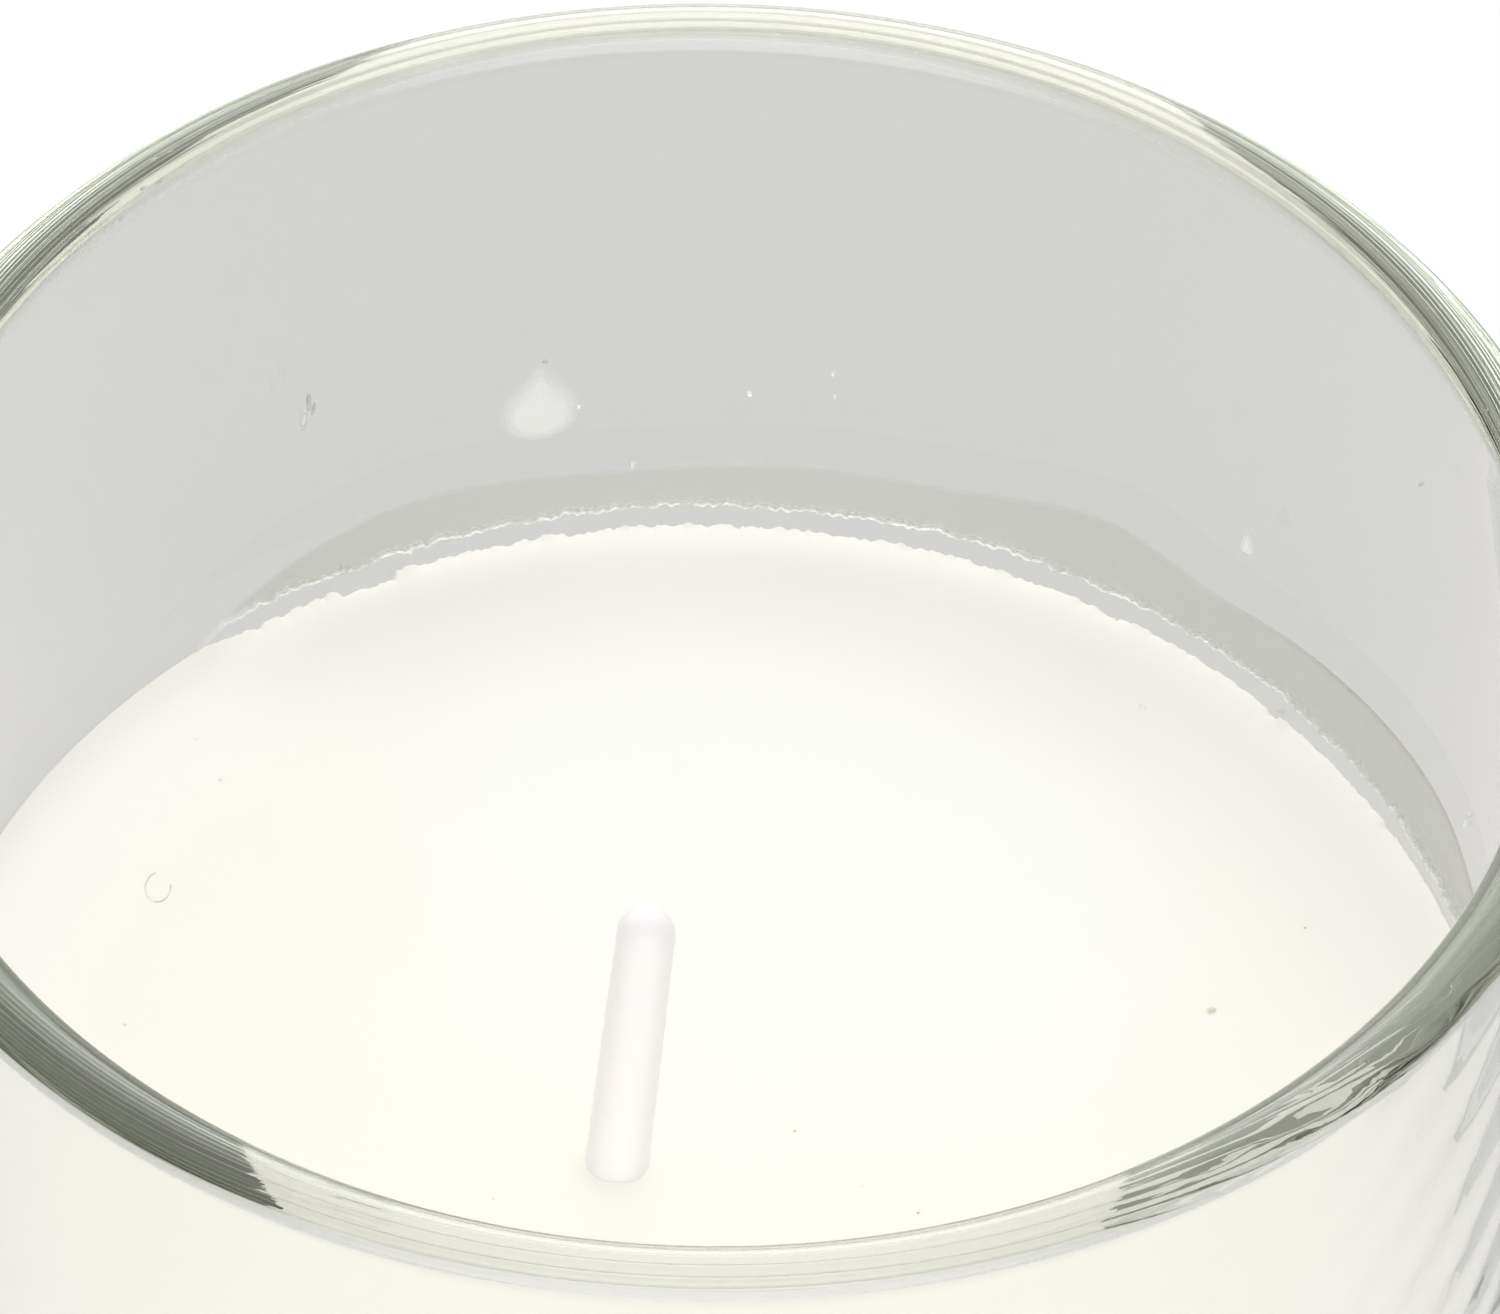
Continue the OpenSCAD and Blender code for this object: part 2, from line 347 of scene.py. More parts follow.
def mottle(graph, cloud_scale, grain_scale):
    made = graph.add("ShaderNodeGroup", node_tree=bpy.data.node_groups["Mottle"])
    made.inputs["Cloud Scale"].default_value = cloud_scale
    made.inputs["Grain Scale"].default_value = grain_scale
    graph.join(place_in_object(graph), made.inputs["Vector"])
    return made.outputs


def bump(graph, shader, height, strength, distance):
    made = graph.node("ShaderNodeBump", {"Height": height, "Strength": strength, "Distance": distance})
    graph.join(made.outputs[0], shader.inputs["Normal"])


# Light that one wall of glass lets through to what it shades
THROUGH_GLASS = (0.95, 0.955, 0.945)


def glass_finish(sizes):
    """Clear soda-lime glass, faintly tinted where it is thick."""
    made, graph, shader = material("Clear glass")
    shader.inputs["Base Color"].default_value = (1.0, 1.0, 1.0, 1.0)
    shader.inputs["Roughness"].default_value = 0.0
    shader.inputs["IOR"].default_value = 1.52
    shader.inputs["Transmission Weight"].default_value = 1.0
    path = graph.add("ShaderNodeLightPath").outputs
    lighting = graph.maths("MAXIMUM", path["Is Shadow Ray"], path["Is Diffuse Ray"])
    clear = graph.node("ShaderNodeBsdfTransparent", {"Color": rgba(THROUGH_GLASS)})
    seen = graph.node("ShaderNodeMixShader", {0: lighting, 1: shader.outputs[0], 2: clear.outputs[0]})
    output = made.node_tree.nodes["Material Output"]
    graph.join(seen.outputs[0], output.inputs["Surface"])
    depth = graph.node("ShaderNodeVolumeAbsorption", {
        "Color": rgba(sizes.tint), "Density": sizes.absorption})
    graph.join(depth.outputs[0], output.inputs["Volume"])
    return made


# Middle of the painted highlight, a whiter patch on the wax, and the distances at which it ends and is full
PAINTED_HIGHLIGHT_SPOT = (5.0 * MM, 16.0 * MM, WAX_Z)
PAINTED_HIGHLIGHT_END = 32.0 * MM
PAINTED_HIGHLIGHT_FULL = 6.0 * MM
# Shares of the clouds and of the painted highlight in the whiter tone
CLOUD_SHARE, PAINTED_HIGHLIGHT_SHARE = 0.25, 0.75
# Distances from the axis where the tone of the edge begins and is full
EDGE_TONE_FROM = 22.0 * MM
EDGE_TONE_FULL = 36.0 * MM


def wax_finish(sizes):
    """Cream wax: a satin skin, softly mottled, with a whiter patch of painted highlight and painted
    highlight along its torn edge.
    """
    made, graph, shader = material("Cream wax")
    masks = mottle(graph, cloud_scale=38.0, grain_scale=2600.0)
    spot = place_in_object(graph)
    from_highlight = graph.node("ShaderNodeVectorMath", {0: spot, 1: PAINTED_HIGHLIGHT_SPOT}, operation="DISTANCE")
    # Painted highlight: a whiter patch of colour where light falls on the middle of the wax
    painted_highlight = graph.map_range(from_highlight.outputs["Value"], PAINTED_HIGHLIGHT_END, PAINTED_HIGHLIGHT_FULL, smooth=True)
    share = graph.maths(
        "MULTIPLY_ADD", masks["Clouds"], CLOUD_SHARE, graph.maths("MULTIPLY", painted_highlight, PAINTED_HIGHLIGHT_SHARE))
    inner = graph.mix_colour(share, rgba(sizes.colour), rgba(sizes.frost_and_highlight))
    level = graph.node("ShaderNodeVectorMath", {0: spot, 1: (1.0, 1.0, 0.0)}, operation="MULTIPLY")
    radius = graph.node("ShaderNodeVectorMath", {0: level.outputs[0]}, operation="LENGTH").outputs["Value"]
    near_glass = graph.map_range(radius, EDGE_TONE_FROM, EDGE_TONE_FULL, smooth=True)
    skin = graph.mix_colour(near_glass, inner, rgba(sizes.edge))
    # Painted highlight along the torn crest of the wax
    torn_highlight = graph.node("ShaderNodeAttribute", attribute_name="torn_highlight").outputs["Fac"]
    graph.join(graph.mix_colour(torn_highlight, skin, rgba(sizes.torn_highlight)), shader.inputs["Base Color"])
    roughness = graph.map_range(masks["Clouds"], 0.0, 1.0, to_low=0.42, to_high=0.5)
    graph.join(roughness, shader.inputs["Roughness"])
    return made


def thin_wax_finish(sizes):
    """Dried wax on glass: thin enough to see through, whiter and denser where it is thick."""
    made, graph, shader = material("Thin wax")
    masks = mottle(graph, cloud_scale=160.0, grain_scale=3200.0)
    tone = graph.node("ShaderNodeAttribute", attribute_name="tone").outputs["Fac"]
    cover = graph.node("ShaderNodeAttribute", attribute_name="cover").outputs["Fac"]
    colour = graph.mix_colour(tone, rgba(sizes.colour), rgba(sizes.thick))
    graph.join(colour, shader.inputs["Base Color"])
    cloud = graph.map_range(masks["Clouds"], 0.0, 1.0, to_low=0.94, to_high=1.0)
    graph.join(graph.maths("MULTIPLY", cover, cloud), shader.inputs["Alpha"])
    shader.inputs["Roughness"].default_value = 0.45
    return made


# Most of the wick's own colour that a pale patch hides
PALE_MOST = 0.6


def wick_finish(sizes):
    """Waxed cotton: a soft sheen over a faint braid. It shades nothing, as light soaks through."""
    made, graph, shader = material("Waxed cotton")
    masks = mottle(graph, cloud_scale=300.0, grain_scale=3000.0)
    colour = graph.mix_colour(
        graph.maths("MULTIPLY", masks["Clouds"], PALE_MOST), rgba(sizes.colour), rgba(sizes.pale))
    graph.join(colour, shader.inputs["Base Color"])
    shader.inputs["Roughness"].default_value = 0.34
    shader.inputs["Subsurface Weight"].default_value = 0.35
    shader.inputs["Subsurface Radius"].default_value = (1.0, 0.9, 0.85)
    shader.inputs["Subsurface Scale"].default_value = 1.0 * MM
    shader.inputs["Sheen Weight"].default_value = 0.3
    shader.inputs["Sheen Roughness"].default_value = 0.6
    path = graph.add("ShaderNodeLightPath").outputs
    lighting = graph.maths("MAXIMUM", path["Is Shadow Ray"], path["Is Diffuse Ray"])
    clear = graph.node("ShaderNodeBsdfTransparent", {"Color": (1.0, 1.0, 1.0, 1.0)})
    seen = graph.node("ShaderNodeMixShader", {
        0: lighting, 1: shader.outputs[0], 2: clear.outputs[0]})
    graph.join(seen.outputs[0], made.node_tree.nodes["Material Output"].inputs["Surface"])
    bump(graph, shader, masks["Grain"], strength=0.15, distance=0.02 * MM)
    return made


# Small bits: the colour and the roughness of each
FLECKS = {
    "Tan crumb": ((0.76, 0.73, 0.60), 0.7),
    "White crumb": ((0.93, 0.93, 0.92), 0.5),
    "Grey speck": ((0.56, 0.55, 0.52), 0.6),
    "Faint smear": ((0.70, 0.695, 0.68), 0.6),
    "Cotton lint": ((0.90, 0.89, 0.86), 0.7),
    "Adhesive foam": ((0.80, 0.80, 0.78), 0.8),
}
# Darkest part of a fleck as a share of its colour
FLECK_DARK = 0.7


def fleck_finish(name):
    """A small opaque crumb, a little uneven in colour."""
    colour, roughness = FLECKS[name]
    made, graph, shader = material(name)
    masks = mottle(graph, cloud_scale=900.0, grain_scale=5000.0)
    dark = tuple(FLECK_DARK * c for c in colour)
    graph.join(graph.mix_colour(masks["Clouds"], rgba(dark), rgba(colour)), shader.inputs["Base Color"])
    shader.inputs["Roughness"].default_value = roughness
    bump(graph, shader, masks["Grain"], strength=0.2, distance=0.02 * MM)
    return made


# Scale of the streaks that the rolls left: close across the sheet, long along it
STREAK_SCALE = (400.0, 6000.0, 400.0)


def tab_finish():
    """Bright tinned sheet steel, brushed by the rolls."""
    made, graph, shader = material("Tab steel")
    grain = graph.node("ShaderNodeMapping", {
        "Vector": place_in_object(graph), "Scale": STREAK_SCALE})
    streaks = graph.node("ShaderNodeTexNoise", {"Vector": grain.outputs[0], "Scale": 1.0, "Detail": 3.0})
    shader.inputs["Base Color"].default_value = (0.62, 0.63, 0.65, 1.0)
    shader.inputs["Metallic"].default_value = 1.0
    roughness = graph.map_range(streaks.outputs["Fac"], 0.3, 0.7, to_low=0.22, to_high=0.38)
    graph.join(roughness, shader.inputs["Roughness"])
    bump(graph, shader, streaks.outputs["Fac"], strength=0.2, distance=0.01 * MM)
    return made


# Geometry trees

def geometry_tree(name, inputs):
    tree = bpy.data.node_groups.new(name, "GeometryNodeTree")
    sockets_in = {"Geometry": ("NodeSocketGeometry", None), **inputs}
    return (tree, *sockets(tree, sockets_in, {"Geometry": "NodeSocketGeometry"}))


def finish_tree(graph, geometry, finish, out):
    """End a tree in real geometry, smooth, with its material."""
    smooth = graph.node("GeometryNodeSetShadeSmooth", {"Geometry": geometry}).outputs[0]
    real = graph.node("GeometryNodeRealizeInstances", {"Geometry": smooth}).outputs[0]
    painted = graph.node("GeometryNodeSetMaterial", {"Geometry": real, "Material": finish})
    graph.join(painted.outputs[0], out["Geometry"])


def grown(name, mesh, tree, values):
    """Run a tree on a mesh and keep what it makes as a plain mesh object."""
    seed = bpy.data.objects.new(name + "_seed", mesh)
    bpy.context.scene.collection.objects.link(seed)
    modifier = seed.modifiers.new("Grow", "NODES")
    modifier.node_group = tree
    names = {item.name: item.identifier for item in tree.interface.items_tree if item.in_out == "INPUT"}
    for label, value in values.items():
        modifier[names[label]] = value
    ready = seed.evaluated_get(bpy.context.evaluated_depsgraph_get())
    made = bpy.data.meshes.new_from_object(ready)
    seed.modifiers.remove(modifier)
    bpy.data.objects.remove(seed)
    made.name = name
    return linked(name, made)


def linked(name, data):
    """A new object in the scene, with its mesh, lamp or lens."""
    made = bpy.data.objects.new(name, data)
    bpy.context.scene.collection.objects.link(made)
    return made


def mesh_of(name, points, faces=(), edges=()):
    made = bpy.data.meshes.new(name)
    made.from_pydata([tuple(p) for p in points], list(edges), list(faces))
    made.update()
    return made


def smooth(mesh):
    mesh.polygons.foreach_set("use_smooth", [True] * len(mesh.polygons))


def store(mesh, name, values):
    made = mesh.attributes.new(name, "FLOAT", "POINT")
    made.data.foreach_set("value", values)


def arc(centre, radius, first, last, steps):
    """Points of an arc in a section, from one direction in degrees to another."""
    out = []
    for i in range(steps + 1):
        a = math.radians(first + (last - first) * i / steps)
        out.append((centre[0] + radius * math.cos(a), centre[1] + radius * math.sin(a)))
    return out


def run(start, end, pace):
    """Points of a straight run, without its ends."""
    length = math.dist(start, end)
    steps = max(1, round(length / pace))
    return [tuple(s + (e - s) * i / steps for s, e in zip(start, end)) for i in range(1, steps)]


# Jar

# How fast the waves change through the wall, so that its inner and outer faces differ
THROUGH_WALL = 120.0
# Angles from the middle of the folds at which they end and are full
FOLDS_END = 0.34
FOLDS_FULL = 0.14
# How far the folds climb for each step round the wall
FOLD_SLOPE = 0.77
# Rows over which the waves fade out towards the foot and the floor
WAVE_FADE = 3
WAVE_SEED = 3.0
# Depth under the outer face at which the folds are full
FOLD_SKIN = 1 * MM
# Length of a face along the ring that the jar stands on, and along its floor
RING_PACE = 2 * MM
FLOOR_PACE = 4 * MM
# Distance within which the poles and the seam close
SEAM = 0.001 * MM


def jar_section(sizes):
    """The wall's section from the middle of the hollow foot, over the lip, to the middle of the floor."""
    ring_out = OUTER_RAD - sizes.foot_rad
    ring_in = ring_out - sizes.ring_width
    push_rad = (ring_in ** 2 + sizes.push_up ** 2) / (2 * sizes.push_up)
    half_angle = math.degrees(math.asin(ring_in / push_rad))
    foot = arc((0, sizes.push_up - push_rad), push_rad, 90, 90 - half_angle, steps=10)
    turn = arc((ring_out, sizes.foot_rad), sizes.foot_rad, -90, 0, steps=12)
    lip = arc((OUTER_RAD - LIP_RAD, LIP_Z), LIP_RAD, 0, 180, steps=28)
    corner = arc((BORE_RAD - sizes.inner_rad, FLOOR_Z + sizes.inner_rad), sizes.inner_rad, 0, -90, steps=12)
    floor = run(corner[-1], (0, FLOOR_Z), FLOOR_PACE)
    outside = [
        (r - sizes.waist * min(1, (LIP_Z - z) / (LIP_Z - WAX_Z)) * ease((z - sizes.foot_rad) / WAX_Z), z)
        for r, z in run(turn[-1], lip[0], sizes.row_height)]
    inside = run(lip[-1], corner[0], sizes.row_height)
    ring = run(foot[-1], turn[0], RING_PACE)
    section = foot + ring + turn + outside + lip + inside + corner + floor
    section.append((0, FLOOR_Z))
    wavy_from = len(foot) + len(ring) + len(turn)
    wavy_to = wavy_from + len(outside) + len(lip) + len(inside)
    return section, (wavy_from, wavy_to)


def revolve_tree(finish):
    """Turn a section round the axis. The marked rows swell, thin and fold as blown glass does."""
    tree, graph, given, out = geometry_tree("Revolved glass", {
        "Segments": ("NodeSocketInt", 256),
        "Rows": ("NodeSocketInt", 100),
        "Wave Depth": ("NodeSocketFloat", 0.1 * MM),
        "Wave Scale": ("NodeSocketFloat", 50.0),
        "Wave Pitch": ("NodeSocketFloat", 2.0),
        "Fold Depth": ("NodeSocketFloat", 0.1 * MM),
        "Fold Turn": ("NodeSocketFloat", 0.0),
        "Fold Pitch": ("NodeSocketFloat", 6.0 * MM),
        "Seed": ("NodeSocketFloat", WAVE_SEED),
    })
    columns = graph.maths("ADD", given["Segments"], 1.0)
    grid = graph.node("GeometryNodeMeshGrid", {"Vertices X": columns, "Vertices Y": given["Rows"]})
    index = graph.add("GeometryNodeInputIndex").outputs[0]
    row = graph.maths("MODULO", index, given["Rows"])
    column = graph.maths("FLOOR", graph.maths("DIVIDE", graph.maths("ADD", index, 0.5), given["Rows"]))

    def sampled(value, data_type):
        return graph.node("GeometryNodeSampleIndex", {
            "Geometry": given["Geometry"], "Value": value, "Index": row}, data_type=data_type).outputs[0]

    place = sampled(graph.add("GeometryNodeInputPosition").outputs[0], "FLOAT_VECTOR")
    wavy_value = graph.node("GeometryNodeInputNamedAttribute", {"Name": "wavy"}, data_type="FLOAT")
    wavy = sampled(wavy_value.outputs[0], "FLOAT")
    parts = graph.node("ShaderNodeSeparateXYZ", {"Vector": place}).outputs
    turn = graph.maths("MULTIPLY", graph.maths("DIVIDE", column, given["Segments"]), math.tau)
    cosine = graph.maths("COSINE", turn)
    sine = graph.maths("SINE", turn)
    through_wall = graph.maths("MULTIPLY", parts["X"], THROUGH_WALL)
    swell = graph.node("ShaderNodeTexNoise", {
        "Vector": graph.vector(
            graph.maths("MULTIPLY", cosine, BORE_RAD), graph.maths("MULTIPLY", sine, BORE_RAD),
            graph.maths("MULTIPLY", parts["Z"], given["Wave Pitch"])),
        "W": graph.maths("ADD", through_wall, given["Seed"]), "Scale": given["Wave Scale"], "Detail": 1.0},
        noise_dimensions="4D")
    wave = graph.maths("MULTIPLY", swell.outputs["Fac"], wavy)
    depth = graph.maths("MULTIPLY", wave, given["Wave Depth"])
    from_folds = graph.maths("ABSOLUTE", graph.maths("SUBTRACT", turn, given["Fold Turn"]))
    near_folds = graph.map_range(from_folds, FOLDS_END, FOLDS_FULL, smooth=True)
    outer = graph.map_range(parts["X"], BORE_RAD, OUTER_RAD - FOLD_SKIN, smooth=True)
    slanted = graph.maths("MULTIPLY_ADD", turn, -FOLD_SLOPE * OUTER_RAD, parts["Z"])
    phase = graph.maths("MULTIPLY", graph.maths("DIVIDE", slanted, given["Fold Pitch"]), math.tau)
    ripple = graph.maths("MULTIPLY_ADD", graph.maths("SINE", phase), 0.5, 0.5)
    masked = graph.maths("MULTIPLY", graph.maths("MULTIPLY", near_folds, outer), wavy)
    folds = graph.maths("MULTIPLY", graph.maths("MULTIPLY", ripple, masked), given["Fold Depth"])
    reach = graph.maths("SUBTRACT", graph.maths("SUBTRACT", parts["X"], depth), folds)
    bent = graph.vector(
        graph.maths("MULTIPLY", reach, cosine), graph.maths("MULTIPLY", reach, sine), parts["Z"])
    moved = graph.node("GeometryNodeSetPosition", {"Geometry": grid.outputs["Mesh"], "Position": bent})
    closed = graph.node("GeometryNodeMergeByDistance", {
        "Geometry": moved.outputs[0], "Distance": SEAM})
    finish_tree(graph, closed.outputs[0], finish, out)
    return tree


def outward(mesh):
    """Turn every face of a closed mesh outwards."""
    work = bmesh.new()
    work.from_mesh(mesh)
    bmesh.ops.recalc_face_normals(work, faces=work.faces)
    work.to_mesh(mesh)
    work.free()


class CANDLE_OT_jar(bpy.types.Operator):
    """Blow the clear glass jar, with its rounded lip and heavy foot"""
    bl_idname = "candle.jar"
    bl_label = "Jar"

    def execute(self, context):
        sizes = context.scene.candle_jar
        section, (wavy_from, wavy_to) = jar_section(sizes)
        edges = [(i, i + 1) for i in range(len(section) - 1)]
        mesh = mesh_of("jar_section", [(r, 0, z) for r, z in section], edges=edges)
        store(mesh, "wavy", [
            max(0.0, min(1.0, (i - wavy_from) / WAVE_FADE, (wavy_to - i) / WAVE_FADE))
            for i in range(len(section))])
        jar = grown("clear_jar", mesh, revolve_tree(glass_finish(sizes)), {
            "Segments": sizes.segments,
            "Rows": len(section),
            "Wave Depth": sizes.wave_depth,
            "Wave Scale": sizes.wave_scale,
            "Wave Pitch": sizes.wave_pitch,
            "Fold Depth": sizes.fold_depth,
            "Fold Turn": sizes.fold_turn,
            "Fold Pitch": sizes.fold_pitch,
            "Seed": WAVE_SEED,
        })
        outward(jar.data)
        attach(jar, "root")
        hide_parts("jar")
        return {"FINISHED"}


# Shapes that the wax, the film and the drops share

def ease(share):
    share = max(0.0, min(1.0, share))
    return share * share * (3 - 2 * share)


def curve_at(points, x):
    """A smooth curve through given points, read at x."""
    last = len(points) - 2
    i = max(j for j in range(last + 1) if j == 0 or points[j][0] <= x)

    def slope(j):
        a, b = points[max(j - 1, 0)], points[min(j + 1, last + 1)]
        return (b[1] - a[1]) / (b[0] - a[0])

    width = points[i + 1][0] - points[i][0]
    t = max(0.0, min(1.0, (x - points[i][0]) / width))
    return (points[i][1] * (2 * t ** 3 - 3 * t ** 2 + 1) + slope(i) * width * (t ** 3 - 2 * t ** 2 + t)
            + points[i + 1][1] * (3 * t ** 2 - 2 * t ** 3) + slope(i + 1) * width * (t ** 3 - t ** 2))


# A torn line's slow bends, bites and fine teeth: the scale of each, its share of the line and its own seed,
# and the power that makes the smaller ones steeper
TEARS = [(9, 0.4, 0, 1.0), (38, 0.42, 7, 0.5), (120, 0.45, 13, 0.5)]
# Seeds of the torn lines: the edge of the wax, the edge of the film, and the breaks in its white line
WAX_TEAR, FILM_TEAR, WHITE_TEAR = 21.0, 3.0, 40.0


def ragged(angle, seed):
    """A torn line's height at an angle in degrees, from about -1 to 1."""
    turn = math.radians(angle)
    spot = Vector((math.cos(turn), math.sin(turn), 0))
    height = 0.0
    for scale, share, own_seed, power in TEARS:
        value = noise.noise(spot * scale + Vector((0, 0, seed + own_seed)))
        height += share * math.copysign(abs(value) ** power, value)
    return height


def on_wall(angle, inwards, height):
    """A point inside the jar: direction in degrees, distance in from the glass, height above the wax."""
    turn = math.radians(angle)
    reach = BORE_RAD - inwards
    return Vector((reach * math.cos(turn), reach * math.sin(turn), WAX_Z + height))


def ring_faces(count, around):
    """Faces that join rings of points, and close the first ring and the last on the two points after."""
    faces = []
    last = count - around
    for start in range(0, last, around):
        for i in range(around):
            j = (i + 1) % around
            faces.append((start + i, start + around + i, start + around + j, start + j))
    for i in range(around):
        j = (i + 1) % around
        faces.append((count, i, j))
        faces.append((count + 1, last + j, last + i))
    return faces


# The film's smooth upper edge: direction in degrees and height above the wax in millimetres
FILM_TOP = [
    (-25, 1.9), (-14, 3.0), (0, 3.9), (12, 4.7), (19, 6.1), (27, 6.25), (40, 5.6), (49.5, 5.1),
    (59, 6.2), (72, 4.8), (84, 4.5), (96, 4.1), (103, 4.3), (113, 4.6), (120.5, 3.9), (127, 2.7),
    (133, 1.1),
]
FILM_FIRST = FILM_TOP[0][0]
FILM_LAST = FILM_TOP[-1][0]


def between(value, low, high, fade):
    """1 from low to high, fading to 0 outside them."""
    return ease((value - low) / fade + 0.5) * ease((high - value) / fade + 0.5)


# Lines on the right where the wax touches the glass: direction and depth where each starts, in degrees and
# millimetres below the edge, then the same where it ends, and its half width in millimetres
TOUCH_LINES = [(-60, 19.0, -16, 1.0, 2.4), (-44, 27.0, -8, 9.0, 1.2)]
# Degrees over which such a line ends, and its wander: waves to the degree, and a seed
TOUCH_FADE, TOUCH_WAVES, TOUCH_SEED = 14, 0.05, 3
# Patches where the wax wets the glass: first and last direction in degrees, each with the degrees that it
# moves for a millimetre of depth, and the degrees over which the patch ends
PATCHES = [(69, 0.5, 105, -0.35, 2.5), (-133, -0.4, -50, 0.35, 1.6)]
# Ragged ends of the patches: how far they swing in degrees, waves to the degree round the wall, waves to
# the millimetre down it, and a seed
RAGS = [(1.6, 0.8, 0.6, 9), (0.9, 0, 2, 5)]
# Directions in degrees between which the front patch is torn into strands, and how softly they end
STRANDS = (-136, -120)
STRANDS_FADE = 6
# The strands: how sharp they are, how wide, how far they part the patch, waves to the degree and to the
# millimetre, and a seed
STRAND_SHARP, STRAND_WIDE, STRAND_DEPTH = 2.5, 0.4, 0.9
STRAND_ROUND, STRAND_DOWN, STRAND_SEED = 0.1, 0.9, 31


def wetted(angle, depth):
    """1 where the wax wets the glass, 0 where it shrank away from it; the depth is below its edge."""
    angle = (angle + 180) % 360 - 180
    down = depth / MM
    rag = 0.0
    for swing, waves_round, waves_down, seed in RAGS:
        rag += swing * noise.noise(Vector((angle * waves_round, down * waves_down, seed)))
    patch = max(
        between(angle + rag, first + first_slant * down, last + last_slant * down, fade)
        for first, first_slant, last, last_slant, fade in PATCHES)
    strand = noise.noise(Vector((angle * STRAND_ROUND, down * STRAND_DOWN, STRAND_SEED)))
    strand = ease(STRAND_SHARP * strand + STRAND_WIDE)
    patch *= 1 - STRAND_DEPTH * strand * between(angle, *STRANDS, STRANDS_FADE)
    touch = 0.0
    for first, top, last, low, half in TOUCH_LINES:
        line = top + (low - top) * (angle - first) / (last - first)
        line += noise.noise(Vector((angle * TOUCH_WAVES, top, TOUCH_SEED)))
        near = math.exp(-((down - line) / half) ** 2)
        touch = max(touch, near * between(angle, first, last, TOUCH_FADE))
    return max(patch, touch)


# Degrees over which the crack under the film closes at both ends
CRACK_FADE = 6


def cracked(angle):
    """1 where the wax broke from the film above it, 0 where it still clings to the glass."""
    angle = (angle + 180) % 360 - 180
    return ease((angle - FILM_FIRST) / CRACK_FADE) * ease((FILM_LAST - angle) / CRACK_FADE)


# Wax

# Middle of the wick where it leaves the wax
WICK_X = -4.1 * MM
WICK_Y = -4.8 * MM


# Chips out of the torn edge: direction in degrees, half width in degrees and depth in millimetres
CHIPS = [
    (117.6, 2.3, 0.55), (101.2, 0.5, 0.2), (88.6, 0.35, 0.15), (58.5, 0.8, 0.25), (42.6, 0.5, 0.3),
    (28.0, 0.7, 0.2),
]
# Scales of the wide and the narrow swells in the surface, the height of the narrow ones as a share, and the
# height at which their noise is cut
SWELL_SCALES = (70, 190)
NARROW_SHARE = 0.5
NARROW_CUT = 4 * MM
# Directions in degrees between which the broken edge grows from fine teeth on the right to full ones behind,
# and the size of the fine ones as a share of a full tooth
FINE_TEETH, FULL_TEETH = 40, 80
FINE_SHARE = 0.55
# Degrees over which a chip ends, and the distance over which the painted highlight along the torn edge fades
CHIP_FADE = 0.3
TORN_FADE = 0.12 * MM
# Distances over which the wax settles from the wick, from the glass and from the torn edge
WICK_SETTLE = 0.7 * MM
EDGE_SETTLE = 0.55 * MM
TEAR_SETTLE = 0.30 * MM
# A distance from the wick or the glass at which the wax has long settled
SETTLED = BORE_RAD
# Rings of the surface in millimetres, first out from the wick, then in from the glass
RINGS_OUT = [0.0, 0.08, 0.18, 0.3, 0.45, 0.65, 0.9, 1.2, 1.7, 2.4, 3.4, 4.8, 7.5, 10.5, 14.0, 17.5, 21.0,
             24.0, 26.5, 28.5, 30.0]
RINGS_IN = [2.6, 1.8, 1.3, 0.95, 0.7, 0.5, 0.34, 0.22, 0.14, 0.08, 0.04]
# Rows down the side in millimetres below the edge: close where the rim shows them, wider below
ROWS_DOWN = [0.0, 1.1, 1.6] + [2.2 + 0.7 * i for i in range(27)] + [22.5, 26.0, 30.0, 35.0, 40.0]
# Radius between the foot's corner and the recess for the tab
FOOT_RING = 22 * MM
# Degrees past both ends of the film in which the columns still lie close together
CLOSE_MARGIN = 4
# How far the wax reaches in over the tab's edge, and the depth of its middle under the surface
TAB_COVER = 1 * MM
PLUG_DEPTH = 1 * MM
# How far the wax reaches into the wick, in depths of the wick's braid
BRAID_ROOM = 3


def wax_height(angle, x, y, from_wall, from_wick, sizes):
    """Height of the wax surface above its level."""
    wide, narrow = SWELL_SCALES
    soft = noise.noise(Vector((x, y, 0)) * wide)
    soft += NARROW_SHARE * noise.noise(Vector((x, y, NARROW_CUT)) * narrow)
    height = sizes.swell * soft
    height += sizes.wick_climb * math.exp(-from_wick / WICK_SETTLE)
    broken = cracked(angle)
    height += (1 - broken) * sizes.edge_climb * math.exp(-from_wall / EDGE_SETTLE)
    tear = broken * math.exp(-from_wall / TEAR_SETTLE)
    growth = FINE_SHARE + (1 - FINE_SHARE) * ease((angle - FINE_TEETH) / (FULL_TEETH - FINE_TEETH))
    line = sizes.tooth * growth * ragged(angle, WAX_TEAR)
    for middle, half, depth in CHIPS:
        line -= depth * MM * between(angle, middle - half, middle + half, CHIP_FADE)
    return height + tear * line


def wax_columns(sizes):
    """Directions of the wax's columns: close together under the torn edge, wider elsewhere."""
    first, last = FILM_FIRST - CLOSE_MARGIN, FILM_LAST + CLOSE_MARGIN
    fine = round((last - first) / sizes.fine_step)
    wide = round((360 - last + first) / sizes.wide_step)
    out = [first + (last - first) * i / fine for i in range(fine)]
    return out + [last + (360 - last + first) * i / wide for i in range(wide)]


